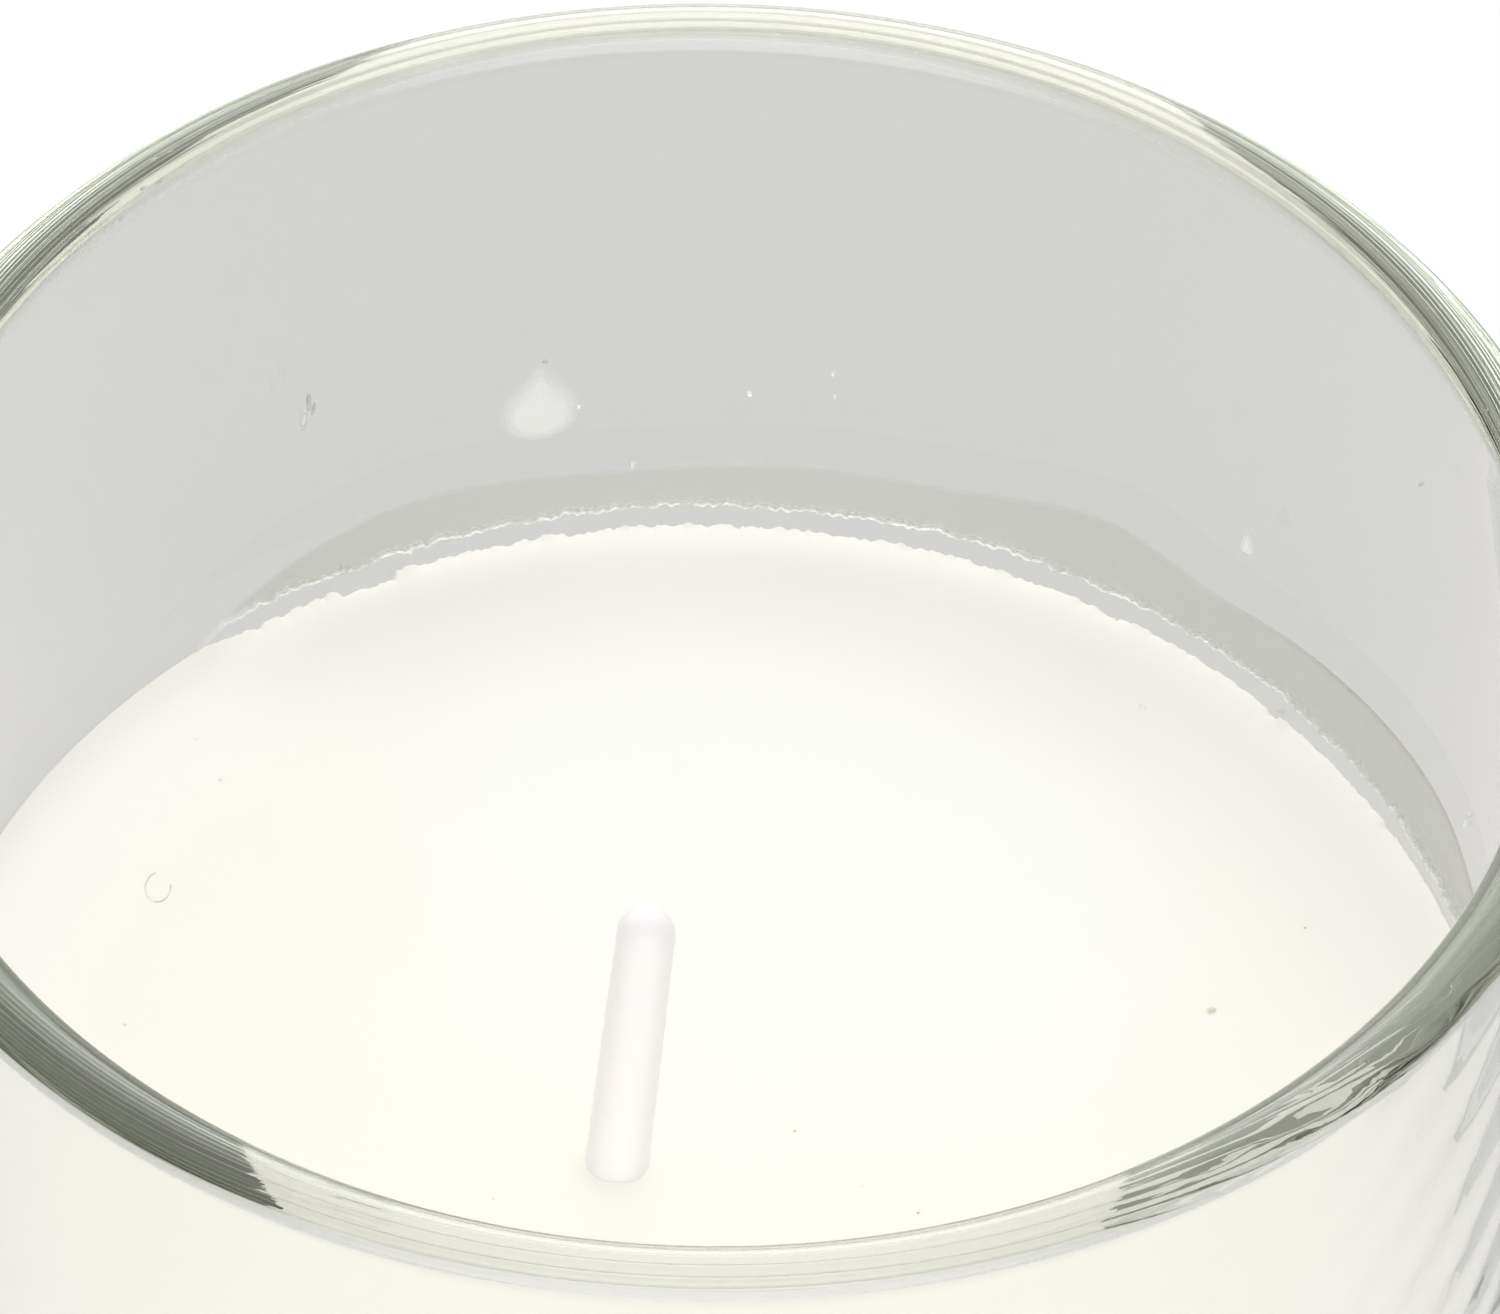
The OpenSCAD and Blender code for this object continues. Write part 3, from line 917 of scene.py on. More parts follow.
def wax_top(columns, edges, wick_rad, sizes):
    """Rings of the surface from the wick's foot to the glass: their points, and how much painted highlight
    each takes along the torn edge.
    """
    heart = Vector((WICK_X, WICK_Y, 0))
    shares = [d * MM / (BORE_RAD - wick_rad) for d in RINGS_OUT]
    shares += [1 - d * MM / (BORE_RAD - wick_rad) for d in RINGS_IN]
    points, torn_highlight = [], []
    for share in shares:
        middle = heart * (1 - share)
        for angle, reach_out in zip(columns, edges):
            reach = wick_rad + (reach_out - wick_rad) * share
            turn = math.radians(angle)
            x = middle.x + reach * math.cos(turn)
            y = middle.y + reach * math.sin(turn)
            from_wall = reach_out - math.hypot(x, y)
            from_wick = math.hypot(x - heart.x, y - heart.y) - wick_rad
            seen_from_axis = math.degrees(math.atan2(y, x))
            points.append((x, y, WAX_Z + wax_height(seen_from_axis, x, y, from_wall, from_wick, sizes)))
            torn_highlight.append(cracked(seen_from_axis) * math.exp(-(from_wall / TORN_FADE) ** 2))
    for angle, reach_out in zip(columns, edges):
        turn = math.radians(angle)
        x, y = reach_out * math.cos(turn), reach_out * math.sin(turn)
        seen_from_axis = math.degrees(math.atan2(y, x))
        points.append((x, y, WAX_Z + wax_height(seen_from_axis, x, y, 0, SETTLED, sizes)))
        torn_highlight.append(cracked(angle))
    return points, torn_highlight


def wax_below(columns, edge, gap, sizes, jar):
    """Points of the rings down the side, in under the wax and up to the roof of the tab's recess."""
    rings = [
        [(edge - (1 - wetted(angle, depth * MM)) * gap, WAX_Z - depth * MM) for angle in columns]
        for depth in ROWS_DOWN[1:]]
    corner = jar.inner_rad
    recess_rad = tab_box[1].x - TAB_COVER
    bottom = FLOOR_Z + sizes.shrink
    lower = arc((edge - gap - corner, bottom + corner), corner, 0, -90, steps=8)
    lower += [(FOOT_RING, bottom), (recess_rad, bottom), (recess_rad, tab_box[0].z)]
    rings += [[spot] * len(columns) for spot in lower]
    points = []
    for ring in rings:
        for angle, (reach, z) in zip(columns, ring):
            turn = math.radians(angle)
            points.append((reach * math.cos(turn), reach * math.sin(turn), z))
    return points


def wax_mesh(sizes, wick, jar):
    """The poured fill: rings that spread from the wick's foot to the glass, then down round the foot."""
    columns = wax_columns(sizes)
    wick_rad = wick.foot_width / 2 - BRAID_ROOM * wick.braid_depth
    edge = BORE_RAD + sizes.sink
    gap = sizes.sink + sizes.shrink
    edges = [edge - (1 - wetted(angle, 0.0)) * gap for angle in columns]
    points, torn_highlight = wax_top(columns, edges, wick_rad, sizes)
    points += wax_below(columns, edge, gap, sizes, jar)
    faces = ring_faces(len(points), len(columns))
    points += [(WICK_X, WICK_Y, WAX_Z - PLUG_DEPTH), (0, 0, tab_box[0].z)]
    made = mesh_of("wax_fill", points, faces)
    smooth(made)
    outward(made)
    store(made, "torn_highlight", torn_highlight + [0.0] * (len(points) - len(torn_highlight)))
    return made


class CANDLE_OT_wax(bpy.types.Operator):
    """Pour the wax, with its climb up the glass and its torn edge under the film"""
    bl_idname = "candle.wax"
    bl_label = "Wax"

    def execute(self, context):
        scene = context.scene
        wax = linked("wax_fill", wax_mesh(scene.candle_wax, scene.candle_wick, scene.candle_jar))
        wax.data.materials.append(wax_finish(scene.candle_wax))
        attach(wax, "root")
        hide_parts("wax")
        return {"FINISHED"}


# Wick

# Strands that wind each way round the wick, and the radius at which the braid has its full depth
BRAID_STRANDS = 3.0
BRAID_RAD = 1.5 * MM


def braid_tree(finish):
    """A round tube along a path, tapered, with a shallow braid pressed into its coat."""
    tree, graph, given, out = geometry_tree("Braided tube", {
        "Sides": ("NodeSocketInt", 40),
        "Braid Depth": ("NodeSocketFloat", 0.03 * MM),
        "Braid Pitch": ("NodeSocketFloat", 5.5 * MM),
    })
    path = graph.node("GeometryNodeMeshToCurve", {"Mesh": given["Geometry"]}).outputs[0]
    ring = graph.node("GeometryNodeCurvePrimitiveCircle", {"Resolution": given["Sides"], "Radius": 1.0})
    angle_index = graph.add("GeometryNodeInputIndex").outputs[0]
    turn = graph.maths("MULTIPLY", graph.maths("DIVIDE", angle_index, given["Sides"]), math.tau)
    marked_ring = graph.node("GeometryNodeStoreNamedAttribute", {
        "Geometry": ring.outputs[0], "Name": "turn", "Value": turn}, data_type="FLOAT", domain="POINT")
    along = graph.add("GeometryNodeSplineParameter").outputs["Length"]
    marked_path = graph.node("GeometryNodeStoreNamedAttribute", {
        "Geometry": path, "Name": "along", "Value": along}, data_type="FLOAT", domain="POINT")
    width = graph.node("GeometryNodeInputNamedAttribute", {"Name": "width"}, data_type="FLOAT").outputs[0]
    tube = graph.node("GeometryNodeCurveToMesh", {
        "Curve": marked_path.outputs[0], "Profile Curve": marked_ring.outputs[0],
        "Scale": width, "Fill Caps": True})

    def read(name):
        return graph.node("GeometryNodeInputNamedAttribute", {"Name": name}, data_type="FLOAT").outputs[0]

    advance = graph.maths("MULTIPLY", graph.maths("DIVIDE", read("along"), given["Braid Pitch"]), math.tau)
    around = graph.maths("MULTIPLY", read("turn"), BRAID_STRANDS)
    up = graph.maths("MULTIPLY", advance, BRAID_STRANDS)
    one_way = graph.maths("SINE", graph.maths("ADD", around, up))
    other_way = graph.maths("SINE", graph.maths("SUBTRACT", around, up))
    relief = graph.maths("SUBTRACT", graph.maths("MAXIMUM", one_way, other_way), 1.0)
    share = graph.maths("DIVIDE", width, BRAID_RAD)
    depth = graph.maths("MULTIPLY", graph.maths("MULTIPLY", relief, given["Braid Depth"]), share)
    normal = graph.add("GeometryNodeInputNormal").outputs[0]
    push = graph.node("ShaderNodeVectorMath", {0: normal, "Scale": depth}, operation="SCALE").outputs[0]
    pressed = graph.node("GeometryNodeSetPosition", {"Geometry": tube.outputs[0], "Offset": push})
    finish_tree(graph, pressed.outputs[0], finish, out)
    return tree


# Thickness of the tab's sheet, on which the wick stands, and the radius of its bend out of the wax
TAB_SHEET = 0.3 * MM
BEND_RAD = 30 * MM
# Stations along the run inside the wax, the bend and the rounded tip, and the step between the others
SWING_STATIONS, BEND_STATIONS, TIP_STATIONS = 24, 6, 12
STATION_STEP = 0.25 * MM
# Least radius of the tip's last station
TIP_END = 0.01 * MM
WICK_SIDES = 48


def wick_path(sizes):
    """Stations of the wick from the tab up, each a centre and a radius."""
    foot = Vector((0, 0, tab_box[0].z + TAB_SHEET))
    neck = Vector((0, 0, tab_box[1].z))
    start = Vector((WICK_X, WICK_Y, WAX_Z - BEND_RAD * math.sin(sizes.lean)))
    wide = sizes.foot_width / 2
    tip = sizes.tip_width / 2
    stations = [(foot, wide), (neck, wide)]
    for i in range(1, SWING_STATIONS + 1):
        share = i / SWING_STATIONS
        spot = neck.lerp(start, share)
        swing = ease(share)
        stations.append((Vector((start.x * swing, start.y * swing, spot.z)), wide))
    for i in range(1, BEND_STATIONS + 1):
        a = sizes.lean * i / BEND_STATIONS
        turn = Vector((BEND_RAD * (1 - math.cos(a)), 0, BEND_RAD * math.sin(a)))
        stations.append((start + turn, wide))
    surface = stations[-1][0]
    aim = Vector((math.sin(sizes.lean), 0, math.cos(sizes.lean)))
    length = (sizes.exposed - tip) / math.cos(sizes.lean)
    steps = round(length / STATION_STEP)
    for i in range(1, steps + 1):
        share = i / steps
        stations.append((surface + aim * length * share, wide + (tip - wide) * share))
    shoulder = stations[-1][0]
    for i in range(1, TIP_STATIONS + 1):
        a = math.radians(90 * i / TIP_STATIONS)
        stations.append((shoulder + aim * tip * math.sin(a), max(tip * math.cos(a), TIP_END)))
    return stations


class CANDLE_OT_wick(bpy.types.Operator):
    """Sweep the waxed wick from its tab to its rounded tip"""
    bl_idname = "candle.wick"
    bl_label = "Wick"

    def execute(self, context):
        sizes = context.scene.candle_wick
        stations = wick_path(sizes)
        edges = [(i, i + 1) for i in range(len(stations) - 1)]
        mesh = mesh_of("wick_path", [p for p, _ in stations], edges=edges)
        store(mesh, "width", [r for _, r in stations])
        wick = grown("waxed_wick", mesh, braid_tree(wick_finish(sizes)), {
            "Sides": WICK_SIDES,
            "Braid Depth": sizes.braid_depth,
            "Braid Pitch": sizes.braid_pitch,
        })
        outward(wick.data)
        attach(wick, "root")
        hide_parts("wick")
        return {"FINISHED"}


class CANDLE_OT_tab(bpy.types.Operator):
    """Finish the steel tab and the adhesive disc at the foot of the wick"""
    bl_idname = "candle.tab"
    bl_label = "Tab and disc"

    def execute(self, context):
        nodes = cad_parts
        paint(nodes["wick_tab"], tab_finish())
        paint(nodes["wick_sticker"], fleck_finish("Adhesive foam"))
        return {"FINISHED"}


def paint(node, finish):
    """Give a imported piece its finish, in its own material slots."""
    if not node.material_slots:
        node.data.materials.append(finish)
    for slot in node.material_slots:
        slot.material = finish


# Film and drops

def closed_sheet(name, front, back):
    """A closed sheet from two grids of points of the same size, one for each face."""
    rows, columns = len(front), len(front[0])
    points = [p for line in front for p in line] + [p for line in back for p in line]
    offset = rows * columns
    faces = []
    for k in range(rows - 1):
        for i in range(columns - 1):
            a = k * columns + i
            b = a + columns
            faces.append((a, a + 1, b + 1, b))
            faces.append((offset + a, offset + b, offset + b + 1, offset + a + 1))
    border = list(range(columns))
    border += [k * columns + columns - 1 for k in range(1, rows)]
    border += [(rows - 1) * columns + i for i in range(columns - 2, -1, -1)]
    border += [k * columns for k in range(rows - 2, 0, -1)]
    for a, b in zip(border, border[1:] + border[:1]):
        faces.append((b, a, offset + a, offset + b))
    made = mesh_of(name, points, faces)
    smooth(made)
    outward(made)
    rim = set(zip(border, border[1:] + border[:1]))
    crease = [(a, b) in rim or (b, a) in rim for a, b in (edge.vertices for edge in made.edges)]
    made.attributes.new("sharp_edge", "BOOLEAN", "EDGE").data.foreach_set("value", crease)
    return made


# Directions in degrees between which the broken edge hangs lower, and by how much
LOW_STRETCH = (101, 122)
LOW_BY = 0.25 * MM
# Least height of the film, and of the crack under it
LEAST_FILM = 0.25 * MM
LEAST_CRACK = 0.55 * MM
# Degrees from one column of the film to the next, and its rows as shares of its height
FILM_STEP = 0.2
FILM_ROWS = [0, 0.015, 0.03, 0.05, 0.08, 0.12, 0.2, 0.32, 0.46, 0.6, 0.74, 0.86, 0.94, 0.98, 1.0]
# Shares of the height at which the film has reached its least thickness, and at which its top rounds off
THIN_AT = 0.625
ROUND_FROM = 0.86
# Gap behind the film, so that its back and the glass don't share a face
OFF_GLASS = 0.01 * MM
# Degrees over which both ends fade
END_FADE = 8
# Degrees between which the top edge turns from a soft one at the back to a grey line on the right
GREY_FROM, GREY_FULL = 55, 35
# Height over which the soft top edge fades
SOFT_TOP = 0.35 * MM
# Thickness that the rounded top keeps, and how much the thickness varies, both as shares
TOP_KEEPS = 0.08
LUMPS = 0.25
# Lumps to the degree round the film, lumps from its lower to its upper edge, and their seed
LUMPS_ROUND, LUMPS_UP, LUMPS_SEED = 0.35, 5, 2
# Whiteness of the thin film, and that of the line along the broken edge with how much it breaks up
THIN_TONE = 0.16
LINE_WHITE, LINE_BREAKS = 0.78, 0.7
# How much more the grey line hides, and the share of its cover that the film keeps at both ends
GREY_COVER = 0.12
END_COVER = 0.25
# Degrees over which the lower stretch of the broken edge begins and ends
LOW_FADE = 8


def film_low(angle, sizes, tooth):
    """Height of the film's broken edge above the wax."""
    top = curve_at(FILM_TOP, angle) * MM
    line = sizes.crack + tooth * ragged(angle, FILM_TEAR) - LOW_BY * between(angle, *LOW_STRETCH, LOW_FADE)
    return max(min(line, top - LEAST_FILM), LEAST_CRACK)


def film_look(angle, up, low, top, sizes):
    """How white the film is at a height between its edges, and how much it hides what is behind it."""
    ends = ease((angle - FILM_FIRST) / END_FADE) * ease((FILM_LAST - angle) / END_FADE)
    white = LINE_WHITE + LINE_BREAKS * ragged(angle, WHITE_TEAR)
    white *= math.exp(-((up - low) / sizes.line) ** 2)
    white = max(0.0, min(1.0, white))
    right = ease((GREY_FROM - angle) / (GREY_FROM - GREY_FULL))
    grey = math.exp(-((top - up) / sizes.line) ** 2) * ends * right
    soft = ease((top - up) / SOFT_TOP) * (1 - right) + right
    kept = END_COVER + (1 - END_COVER) * ends
    tone = THIN_TONE + (1 - THIN_TONE) * white - THIN_TONE * grey
    return tone, max(sizes.cover + GREY_COVER * grey, white) * kept * soft


def film_mesh(sizes, tooth):
    """The film of wax on the wall: thick and torn below, thin and smooth above."""
    count = round((FILM_LAST - FILM_FIRST) / FILM_STEP) + 1
    thinning = sizes.top_thickness - sizes.low_thickness
    front, back, looks = [], [], []
    for share in FILM_ROWS:
        past_round = max(0.0, (share - ROUND_FROM) / (1 - ROUND_FROM))
        rounding = min(1.0, math.sqrt(max(0.0, 1 - past_round ** 2)) + TOP_KEEPS)
        thick = sizes.low_thickness + thinning * ease(share / THIN_AT)
        front_row, back_row = [], []
        for i in range(count):
            angle = FILM_FIRST + FILM_STEP * i
            low = film_low(angle, sizes, tooth)
            top = curve_at(FILM_TOP, angle) * MM
            up = low + (top - low) * share
            lump = noise.noise(Vector((angle * LUMPS_ROUND, share * LUMPS_UP, LUMPS_SEED)))
            out = thick * rounding * (1 + LUMPS * lump)
            front_row.append(on_wall(angle, out, up))
            back_row.append(on_wall(angle, OFF_GLASS, up))
            looks.append(film_look(angle, up, low, top, sizes))
        front.append(front_row)
        back.append(back_row)
    made = closed_sheet("wall_film", front, back)
    store(made, "tone", [tone for tone, _ in looks + looks])
    store(made, "cover", [cover for _, cover in looks + looks])
    return made


# How much a drop hides what is behind it, and how far its back reaches into the glass that it wets
DROP_COVER = 0.36
DROP_SINK = 0.02 * MM
# How fast its cover rises from its outline, and how far one side of its tail bulges
DROP_RISE = 2.0
DROP_BULGE = 0.02
# Points round the foot of a drop and up each side of its tail, and rings from its outline to its crown
DROP_FOOT, DROP_TAIL, DROP_RINGS = 40, 8, 12
# The drops: width, height of the crown off the glass, height above the wax and length of the tail in
# millimetres, and direction in degrees
DROPS = [("large_drop", 4.4, 0.45, 8.75, 1.5, 103.6), ("small_drop", 1.1, 0.4, 9.6, 0.65, 46.4)]


def drop_outline(rad, tail):
    """Outline of a drop on the glass: a round foot, then one side of its pointed tail and the other."""
    touch = math.asin(rad / (rad + tail))
    outline = []
    for i in range(DROP_FOOT + 1):
        a = touch - (math.pi + 2 * touch) * i / DROP_FOOT
        outline.append((rad * math.cos(a), rad * math.sin(a)))
    left = outline[-1]
    for i in range(1, DROP_TAIL):
        share = i / DROP_TAIL
        bulge = DROP_BULGE * rad * math.sin(math.pi * share)
        outline.append((left[0] * (1 - share) + bulge, left[1] + (rad + tail - left[1]) * share))
    outline.append((0.0, rad + tail))
    right = outline[0]
    for i in range(1, DROP_TAIL):
        share = 1 - i / DROP_TAIL
        outline.append((right[0] * (1 - share), right[1] + (rad + tail - right[1]) * share))
    return outline


def drop_mesh(name, width, out, up, tail, angle):
    """A run of wax that set on the glass, domed from its outline to its crown."""
    outline = drop_outline(width / 2, tail)
    points, cover = [], []
    for k in range(DROP_RINGS):
        share = math.cos(math.pi / 2 * k / DROP_RINGS)
        for x, y in outline:
            x, y = x * share, y * share
            turned = angle - math.degrees(x / BORE_RAD)
            height = out * (1 - share ** 2) - DROP_SINK * (k == 0)
            points.append(on_wall(turned, height, up + y))
            cover.append(DROP_COVER * ease((1 - share) * DROP_RISE))
    faces = ring_faces(len(points), len(outline))
    points += [on_wall(angle, -DROP_SINK, up), on_wall(angle, out, up)]
    cover += [DROP_COVER / 2, DROP_COVER]
    made = mesh_of(name, points, faces)
    smooth(made)
    outward(made)
    store(made, "tone", [1.0] * len(cover))
    store(made, "cover", cover)
    return made


class CANDLE_OT_film(bpy.types.Operator):
    """Lay the dried film and the two drops on the inside of the glass"""
    bl_idname = "candle.film"
    bl_label = "Film and drops"

    def execute(self, context):
        scene = context.scene
        sizes = scene.candle_film
        finish = thin_wax_finish(sizes)
        film = linked("wall_film", film_mesh(sizes, scene.candle_wax.tooth))
        film.data.materials.append(finish)
        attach(film, "root")
        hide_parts("wax_film")
        for name, width, out, up, tail, angle in DROPS:
            drop = linked(name, drop_mesh(name, width * MM, out * MM, up * MM, tail * MM, angle))
            drop.data.materials.append(finish)
            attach(drop, "root")
            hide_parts("wax_drops")
        return {"FINISHED"}


# Crumbs and specks

# Shape of a crumb: its depth as a share of its width, its most tilt, and the scale and depth of its dents
CRUMB_DEPTH = 0.7
CRUMB_TILT = 0.3
DENT_SCALE = 4000.0
DENT_DEPTH = 0.3 * MM
CRUMB_ROUGHNESS = 0.35
CRUMB_SEED = 5


def crumb_tree(finish):
    """An uneven crumb at each marked point, as big as its width says."""
    tree, graph, given, out = geometry_tree("Crumbs", {
        "Roughness": ("NodeSocketFloat", CRUMB_ROUGHNESS),
        "Seed": ("NodeSocketInt", CRUMB_SEED),
    })
    ball = graph.node("GeometryNodeMeshIcoSphere", {"Radius": 1.0, "Subdivisions": 3})
    width = graph.node("GeometryNodeInputNamedAttribute", {"Name": "width"}, data_type="FLOAT").outputs[0]
    flat = graph.node("GeometryNodeInputNamedAttribute", {"Name": "flat"}, data_type="FLOAT").outputs[0]
    spin = graph.node("FunctionNodeRandomValue", {
        "Min": (0.0, 0.0, 0.0), "Max": (CRUMB_TILT, CRUMB_TILT, math.tau), "Seed": given["Seed"]},
        data_type="FLOAT_VECTOR").outputs[0]
    size = graph.vector(
        width, graph.maths("MULTIPLY", width, CRUMB_DEPTH), graph.maths("MULTIPLY", width, flat))
    placed = graph.node("GeometryNodeInstanceOnPoints", {
        "Points": given["Geometry"], "Instance": ball.outputs[0], "Rotation": spin, "Scale": size})
    real = graph.node("GeometryNodeRealizeInstances", {"Geometry": placed.outputs[0]}).outputs[0]
    place = graph.add("GeometryNodeInputPosition").outputs[0]
    dents = graph.node("ShaderNodeTexNoise", {"Vector": place, "Scale": DENT_SCALE, "Detail": 2.0})
    amount = graph.maths("MULTIPLY", graph.maths("SUBTRACT", dents.outputs["Fac"], 0.5), given["Roughness"])
    normal = graph.add("GeometryNodeInputNormal").outputs[0]
    push = graph.node("ShaderNodeVectorMath", {
        0: normal, "Scale": graph.maths("MULTIPLY", amount, DENT_DEPTH)}, operation="SCALE").outputs[0]
    dented = graph.node("GeometryNodeSetPosition", {"Geometry": real, "Offset": push})
    finish_tree(graph, dented.outputs[0], finish, out)
    return tree


# Crumbs on the wax: across, back, and half width, in millimetres
DARK_CRUMBS = [(23.7, 5.47, 0.24), (28.19, 10.79, 0.07), (4.22, -2.55, 0.07), (9.94, -7.43, 0.08),
               (-27.17, 3.28, 0.08), (-24.82, 21.69, 0.10)]
PALE_CRUMBS = [(20.72, 25.02, 0.22), (7.35, -5.85, 0.08), (-9.65, -6.99, 0.08), (-23.49, 19.09, 0.10)]
# Specks and a smear's strokes on the glass: direction in degrees, height above the wax and half width in
# millimetres
PALE_SPECKS = [(87.7, 9.2, 0.16), (81.2, 9.5, 0.14), (81.4, 11.0, 0.12), (96.5, 4.45, 0.2),
               (15.7, 8.9, 0.14), (16.2, 8.0, 0.18), (113.9, 1.25, 0.24), (119.5, 1.45, 0.28),
               (103.7, 1.4, 0.18), (100.6, 8.7, 0.12), (41.9, 0.35, 0.2)]
GREY_SPECKS = [(27.8, 23.5, 0.13), (103.2, 12.0, 0.11)]
SMEARS = [(121.7, 13.0, 0.09), (122.6, 12.5, 0.16), (122.1, 13.6, 0.13)]
# Height of a crumb, a speck and a stroke as a share of its width
CRUMB_TALL, SPECK_TALL, SMEAR_TALL = 0.4, 1.0, 5.0
# Distance of a speck's middle from the glass as a share of its half width, so that it sits on the glass
SPECK_OUT = 0.6
# An open curl of lint on the wax: its middle, its half width and half length, and its thickness
LINT_PLACE = (-26.09 * MM, 12.07 * MM)
LINT_HALF = (0.6 * MM, 0.95 * MM)
LINT_RAD = 0.035 * MM
LINT_STEPS = 24
LINT_SIDES = 8
# Where the curl starts and how far it turns, in degrees
LINT_START, LINT_TURN = 105, 265


class CANDLE_OT_crumbs(bpy.types.Operator):
    """Scatter the crumbs and specks that the wax and the glass caught"""
    bl_idname = "candle.crumbs"
    bl_label = "Crumbs and specks"

    def execute(self, context):
        dark = fleck_finish("Tan crumb")
        grey = fleck_finish("Grey speck")
        pale = fleck_finish("White crumb")
        faint = fleck_finish("Faint smear")
        for name, finish, wax_spots, glass_spots, tall in (
            ("dark_crumbs", dark, DARK_CRUMBS, [], SPECK_TALL),
            ("grey_specks", grey, [], GREY_SPECKS, SPECK_TALL),
            ("pale_crumbs", pale, PALE_CRUMBS, PALE_SPECKS, SPECK_TALL),
            ("faint_smear", faint, [], SMEARS, SMEAR_TALL),
        ):
            rows = [(Vector((x * MM, y * MM, WAX_Z)), w * MM, CRUMB_TALL) for x, y, w in wax_spots]
            rows += [
                (on_wall(a, SPECK_OUT * w * MM, h * MM), w * MM, tall) for a, h, w in glass_spots]
            mesh = mesh_of(name, [p for p, _, _ in rows])
            store(mesh, "width", [w for _, w, _ in rows])
            store(mesh, "flat", [f for _, _, f in rows])
            crumbs = grown(name, mesh, crumb_tree(finish), {
                "Roughness": CRUMB_ROUGHNESS, "Seed": CRUMB_SEED})
            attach(crumbs, "root")
        self.lay_lint(context.scene.candle_wax)
        return {"FINISHED"}

    def lay_lint(self, sizes):
        """Lay one open curl of cotton lint on the wax."""
        points = []
        for i in range(LINT_STEPS + 1):
            turn = math.radians(LINT_START + LINT_TURN * i / LINT_STEPS)
            x = LINT_PLACE[0] + LINT_HALF[0] * math.cos(turn)
            y = LINT_PLACE[1] + LINT_HALF[1] * math.sin(turn)
            angle = math.degrees(math.atan2(y, x))
            points.append((x, y, WAX_Z + wax_height(angle, x, y, SETTLED, SETTLED, sizes)))
        path = mesh_of("lint_path", points, edges=[(i, i + 1) for i in range(LINT_STEPS)])
        store(path, "width", [LINT_RAD] * len(points))
        finish = fleck_finish("Cotton lint")
        lint = grown("lint_curl", path, braid_tree(finish), {"Sides": LINT_SIDES, "Braid Depth": 0.0})
        outward(lint.data)
        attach(lint, "root")


# Stage

# The camera's place, its tilt up from straight down and its roll, found from the photo's two lip outlines
CAMERA_PLACE = (1.734 * MM, -324.144 * MM, 423.728 * MM)
CAMERA_TILT = math.radians(43.8596)
CAMERA_ROLL = math.radians(1.0484)
# Width of its sensor in millimetres
SENSOR_WIDTH = 36.0
# Direction of the soft box high behind the candle, and how near it the light begins and is full
SOFT_BOX = (0.0, 0.69, 0.724)
BOX_EDGE, BOX_FULL = 0.82, 0.96
# Shades of the studio as parts of a direction: height from the sides to overhead, how far to the front the
# front light lies, and how far back and between which heights the back light lies
OVERHEAD = (0.1, 0.5)
TO_FRONT = (-0.6, -0.95)
TO_BACK = (0.3, 0.65)
BACK_FOOT = (0.10, 0.25)
BACK_TOP = (0.75, 0.45)
# How far to the right the painted shadow on the floor under the candle turns paler, and how much paler
SHADOW_PALER = (-10 * MM, 30 * MM)
SHADOW_PALER_BY = 2.2
# Where the painted shadow under the candle ends and the grey round it begins, from the outside of the jar
SHADOW_END, ROUND_START = -3 * MM, 2 * MM
# Space between the jar's foot and the floor, so that their faces don't share a plane
FLOOR_GAP = 0.02 * MM
# Tint of the plain grey that glass shows of the floor
GREY_TINT = (1.0, 0.997, 0.985)
# How much of what glass and the camera see of the floor is its plain grey or white, and not the lit floor
GREY_SHARE, WHITE_SHARE = 0.9, 0.8
# Place, width and tilt of the soft lamp
LAMP_PLACE = (0.0, -0.15, 0.9)
LAMP_WIDTH = 0.7
LAMP_TILT = math.radians(-9)


def seen_directly(graph):
    """1 for what the camera sees, and 1 for what glass and polished faces show."""
    path = graph.add("ShaderNodeLightPath").outputs
    shown = graph.maths("MAXIMUM", path["Is Glossy Ray"], path["Is Transmission Ray"])
    return path["Is Camera Ray"], shown


def floor_finish(sizes):
    """A pale floor that takes a soft shadow and shows white to the camera, with a painted shadow under the
    candle where glass shows it.
    """
    made = bpy.data.materials.new("Studio floor")
    made.use_nodes = True
    tree = made.node_tree
    tree.nodes.clear()
    graph = Graph(tree)
    direct, shown = seen_directly(graph)
    cloth = graph.node("ShaderNodeBsdfDiffuse", {"Color": rgba(sizes.floor_colour)}).outputs[0]
    white = graph.node("ShaderNodeEmission", {"Color": (1.0, 1.0, 1.0, 1.0), "Strength": sizes.floor_white})
    spot = place_in_object(graph)
    from_axis = graph.node("ShaderNodeVectorMath", {0: spot}, operation="LENGTH")
    across = graph.node("ShaderNodeSeparateXYZ", {"Vector": spot}).outputs["X"]
    # Painted shadow: a dark grey glow under the candle, paler to the right
    painted_shadow = graph.map_range(
        across, *SHADOW_PALER, sizes.floor_painted_shadow, SHADOW_PALER_BY * sizes.floor_painted_shadow, smooth=True)
    level = graph.map_range(
        from_axis.outputs["Value"], OUTER_RAD + SHADOW_END, OUTER_RAD + ROUND_START, painted_shadow,
        sizes.floor_in_glass, smooth=True)
    grey = graph.node("ShaderNodeEmission", {"Color": rgba(GREY_TINT), "Strength": level})
    in_glass = graph.node("ShaderNodeMixShader", {
        0: graph.maths("MULTIPLY", shown, GREY_SHARE), 1: cloth, 2: grey.outputs[0]}).outputs[0]
    seen = graph.node("ShaderNodeMixShader", {
        0: graph.maths("MULTIPLY", direct, WHITE_SHARE), 1: in_glass, 2: white.outputs[0]}).outputs[0]
    output = graph.add("ShaderNodeOutputMaterial")
    graph.join(seen, output.inputs["Surface"])
    return made


